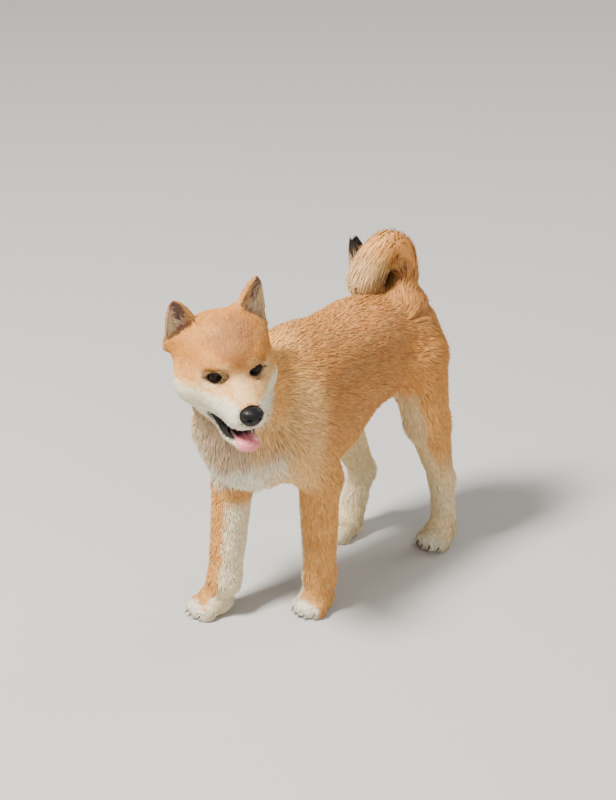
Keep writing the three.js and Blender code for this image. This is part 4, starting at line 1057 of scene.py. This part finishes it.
eyeFinish = material("eyeFinish", rough=0.12, streak=(900, 0.25), specular=0.16)
lidFinish = material("lidFinish", colour=(0.02, 0.014, 0.012), rough=0.42, streak=(1500, 0.3), bump=0.3)
for sideName, side in (("left", 1), ("right", -1)):
    addEye(sideName, side, eyeFinish)
    addLids(sideName, side, lidFinish)
print("eyes done")


# A node of the head again in fine quads, smoothed, with its normals
def fineNode(name, settings):
    places, quads = remeshed(*nodeArrays(name), settings["voxel"])
    places = relaxed(places, quads, np.full(len(places), 0.4), settings["rounds"])
    return places, quads, cornerNormals(places, split(quads))


noseCover = {"voxel": 0.45, "rounds": 5, "out": 0.42, "grain": 0.05}


# The nose leather, just over its node, with a fine grain
def addNose(finish):
    places, quads, normals = fineNode("nose", noseCover)
    places = places + normals * (noseCover["out"] + noseCover["grain"] * ripple(places, 1.6, 61))[:, None]
    piece = meshFrom("nose_leather", places, quads, finish)
    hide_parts("nose")
    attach(piece, "root")


tongueSettings = {"voxel": 0.6, "rounds": 4, "groove": 0.7, "pink": (0.76, 0.21, 0.24)}


# The tongue, with a groove of a bell's section along its middle, and painted shade on its back part inside
# the mouth
def addTongue(finish):
    places, quads, normals = fineNode("tongue", tongueSettings)
    spots = inHead(places)
    groove = tongueSettings["groove"] * bell(spots[:, 0], 1.6)
    places = places - normals * (groove * step(0.2, 0.8, (normals @ headAxes.T)[:, 2]))[:, None]
    piece = meshFrom("tongue_flesh", places, quads, finish)
    # painted shade: the pink falls to a tenth behind the tongue's front, where the mouth shades it
    paint(piece, np.array(tongueSettings["pink"]) * (0.1 + 0.9 * step(-24, -31, spots[:, 1]))[:, None])
    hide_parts("tongue")
    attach(piece, "root")


addNose(material("noseFinish", colour=(0.008, 0.007, 0.008), rough=0.42, streak=(1700, 0.4), bump=0.35,
                 coat=0.05, specular=0.2))
addTongue(material("tongueFinish", rough=0.35, streak=(1300, 0.12), bump=0.25, coat=0.3))


clawSettings = {"radius": 1.5, "length": 8.5, "droop": 3.85, "height": 7.6, "ahead": 20, "apart": 8.2,
                "spokes": 10, "rings": 7}


# A curved, tapering tube from each toe of a foot, in the foot's own frame and then turned to its heading.
# At a share t of its length it has drooped by t squared, and its radius has shrunk by t to the power 1.6.
def addClaws(name, foot, heading, finish):
    t = np.linspace(0, 1, clawSettings["rings"])
    turn = turns(clawSettings["spokes"])
    radius = clawSettings["radius"] * (1 - t**1.6) + 0.12
    ring = np.stack([np.cos(turn), 0 * turn, np.sin(turn) * 1.15], 1)
    quads = ringQuads(len(t), len(turn), flipped=True)
    allPlaces, allFaces = [], []
    for toe in (-1.5, -0.5, 0.5, 1.5):
        ahead = clawSettings["ahead"] - 2.4 * toe**2 + clawSettings["length"] * t
        height = clawSettings["height"] - clawSettings["droop"] * t**2
        middle = np.stack([0 * t + toe * clawSettings["apart"], -ahead, height], 1)
        allFaces.append(quads + len(t) * len(turn) * len(allFaces))
        allPlaces.append((middle[:, None] + radius[:, None, None] * ring[None]).reshape(-1, 3))
    places = turned(np.concatenate(allPlaces), heading) + [*foot, 0]
    piece = meshFrom(name, places, np.concatenate(allFaces), finish)
    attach(piece, "root")


clawFinish = material("clawFinish", colour=(0.10, 0.07, 0.05), rough=0.35, streak=(700, 0.4), bump=0.1)
for footName, (foot, heading) in feet.items():
    addClaws("claws_" + footName, foot, heading, clawFinish)
print("nose, tongue and claws done")


# The stage in metres and degrees: the floor's width, the camera, the point that the lights aim at and the
# world's light. Then each light's place, size, watts and colour.
stageSettings = {"floor": 6.0, "look": (-0.0471, 0.0444, 0.17), "azimuth": 42, "elevation": 25,
                 "distance": 2.524, "lens": 117, "aim": (0, 0, 0.2),
                 "world": (0.97, 0.95, 0.92, 1), "glow": 0.36}
lightSettings = {"key": ((-0.4, -1.5, 2.6), 0.6, 245, (1.0, 0.96, 0.9)),
                 "fill": ((1.9, -0.6, 1.2), 1.6, 18, (1.0, 0.94, 0.86)),
                 "rim": ((0.3, 2.1, 1.7), 1.2, 26, (1.0, 0.97, 0.92))}


# A square floor under the puppy
def addFloor():
    half = stageSettings["floor"] / 2 / metre
    corners = np.array([[-half, -half, 0], [half, -half, 0], [half, half, 0], [-half, half, 0]])
    finish = material("floorFinish", colour=(0.5, 0.495, 0.48), rough=0.9)
    floor = meshFrom("floor", corners, np.array([[0, 1, 2, 3]]), finish)


# An area light aimed at the puppy's middle
def addLight(name, place, size, power, colour):
    light = bpy.data.lights.new(name, "AREA")
    light.size = size
    light.energy = power
    light.color = colour
    holder = bpy.data.objects.new(name, light)
    holder.location = place
    aim = Vector(stageSettings["aim"]) - Vector(place)
    holder.rotation_euler = aim.to_track_quat("-Z", "Y").to_euler()
    bpy.context.scene.collection.objects.link(holder)


# The camera stands off the point it looks at, along the direction of its azimuth and elevation
def addCamera(settings):
    azimuth, elevation = math.radians(settings["azimuth"]), math.radians(settings["elevation"])
    flat = math.cos(elevation)
    back = Vector((math.sin(azimuth) * flat, -math.cos(azimuth) * flat, math.sin(elevation)))
    camera = bpy.data.cameras.new("camera")
    camera.lens = settings["lens"]
    camera.sensor_width = 36
    holder = bpy.data.objects.new("camera", camera)
    holder.location = Vector(settings["look"]) + settings["distance"] * back
    holder.rotation_euler = back.to_track_quat("Z", "Y").to_euler()
    bpy.context.scene.collection.objects.link(holder)
    bpy.context.scene.camera = holder


addFloor()
for lightName, values in lightSettings.items():
    addLight(lightName, *values)
world = bpy.data.worlds.new("studio")
world.use_nodes = True
world.node_tree.nodes["Background"].inputs["Color"].default_value = stageSettings["world"]
world.node_tree.nodes["Background"].inputs["Strength"].default_value = stageSettings["glow"]
bpy.context.scene.world = world
addCamera(stageSettings)

print("stage and camera done")
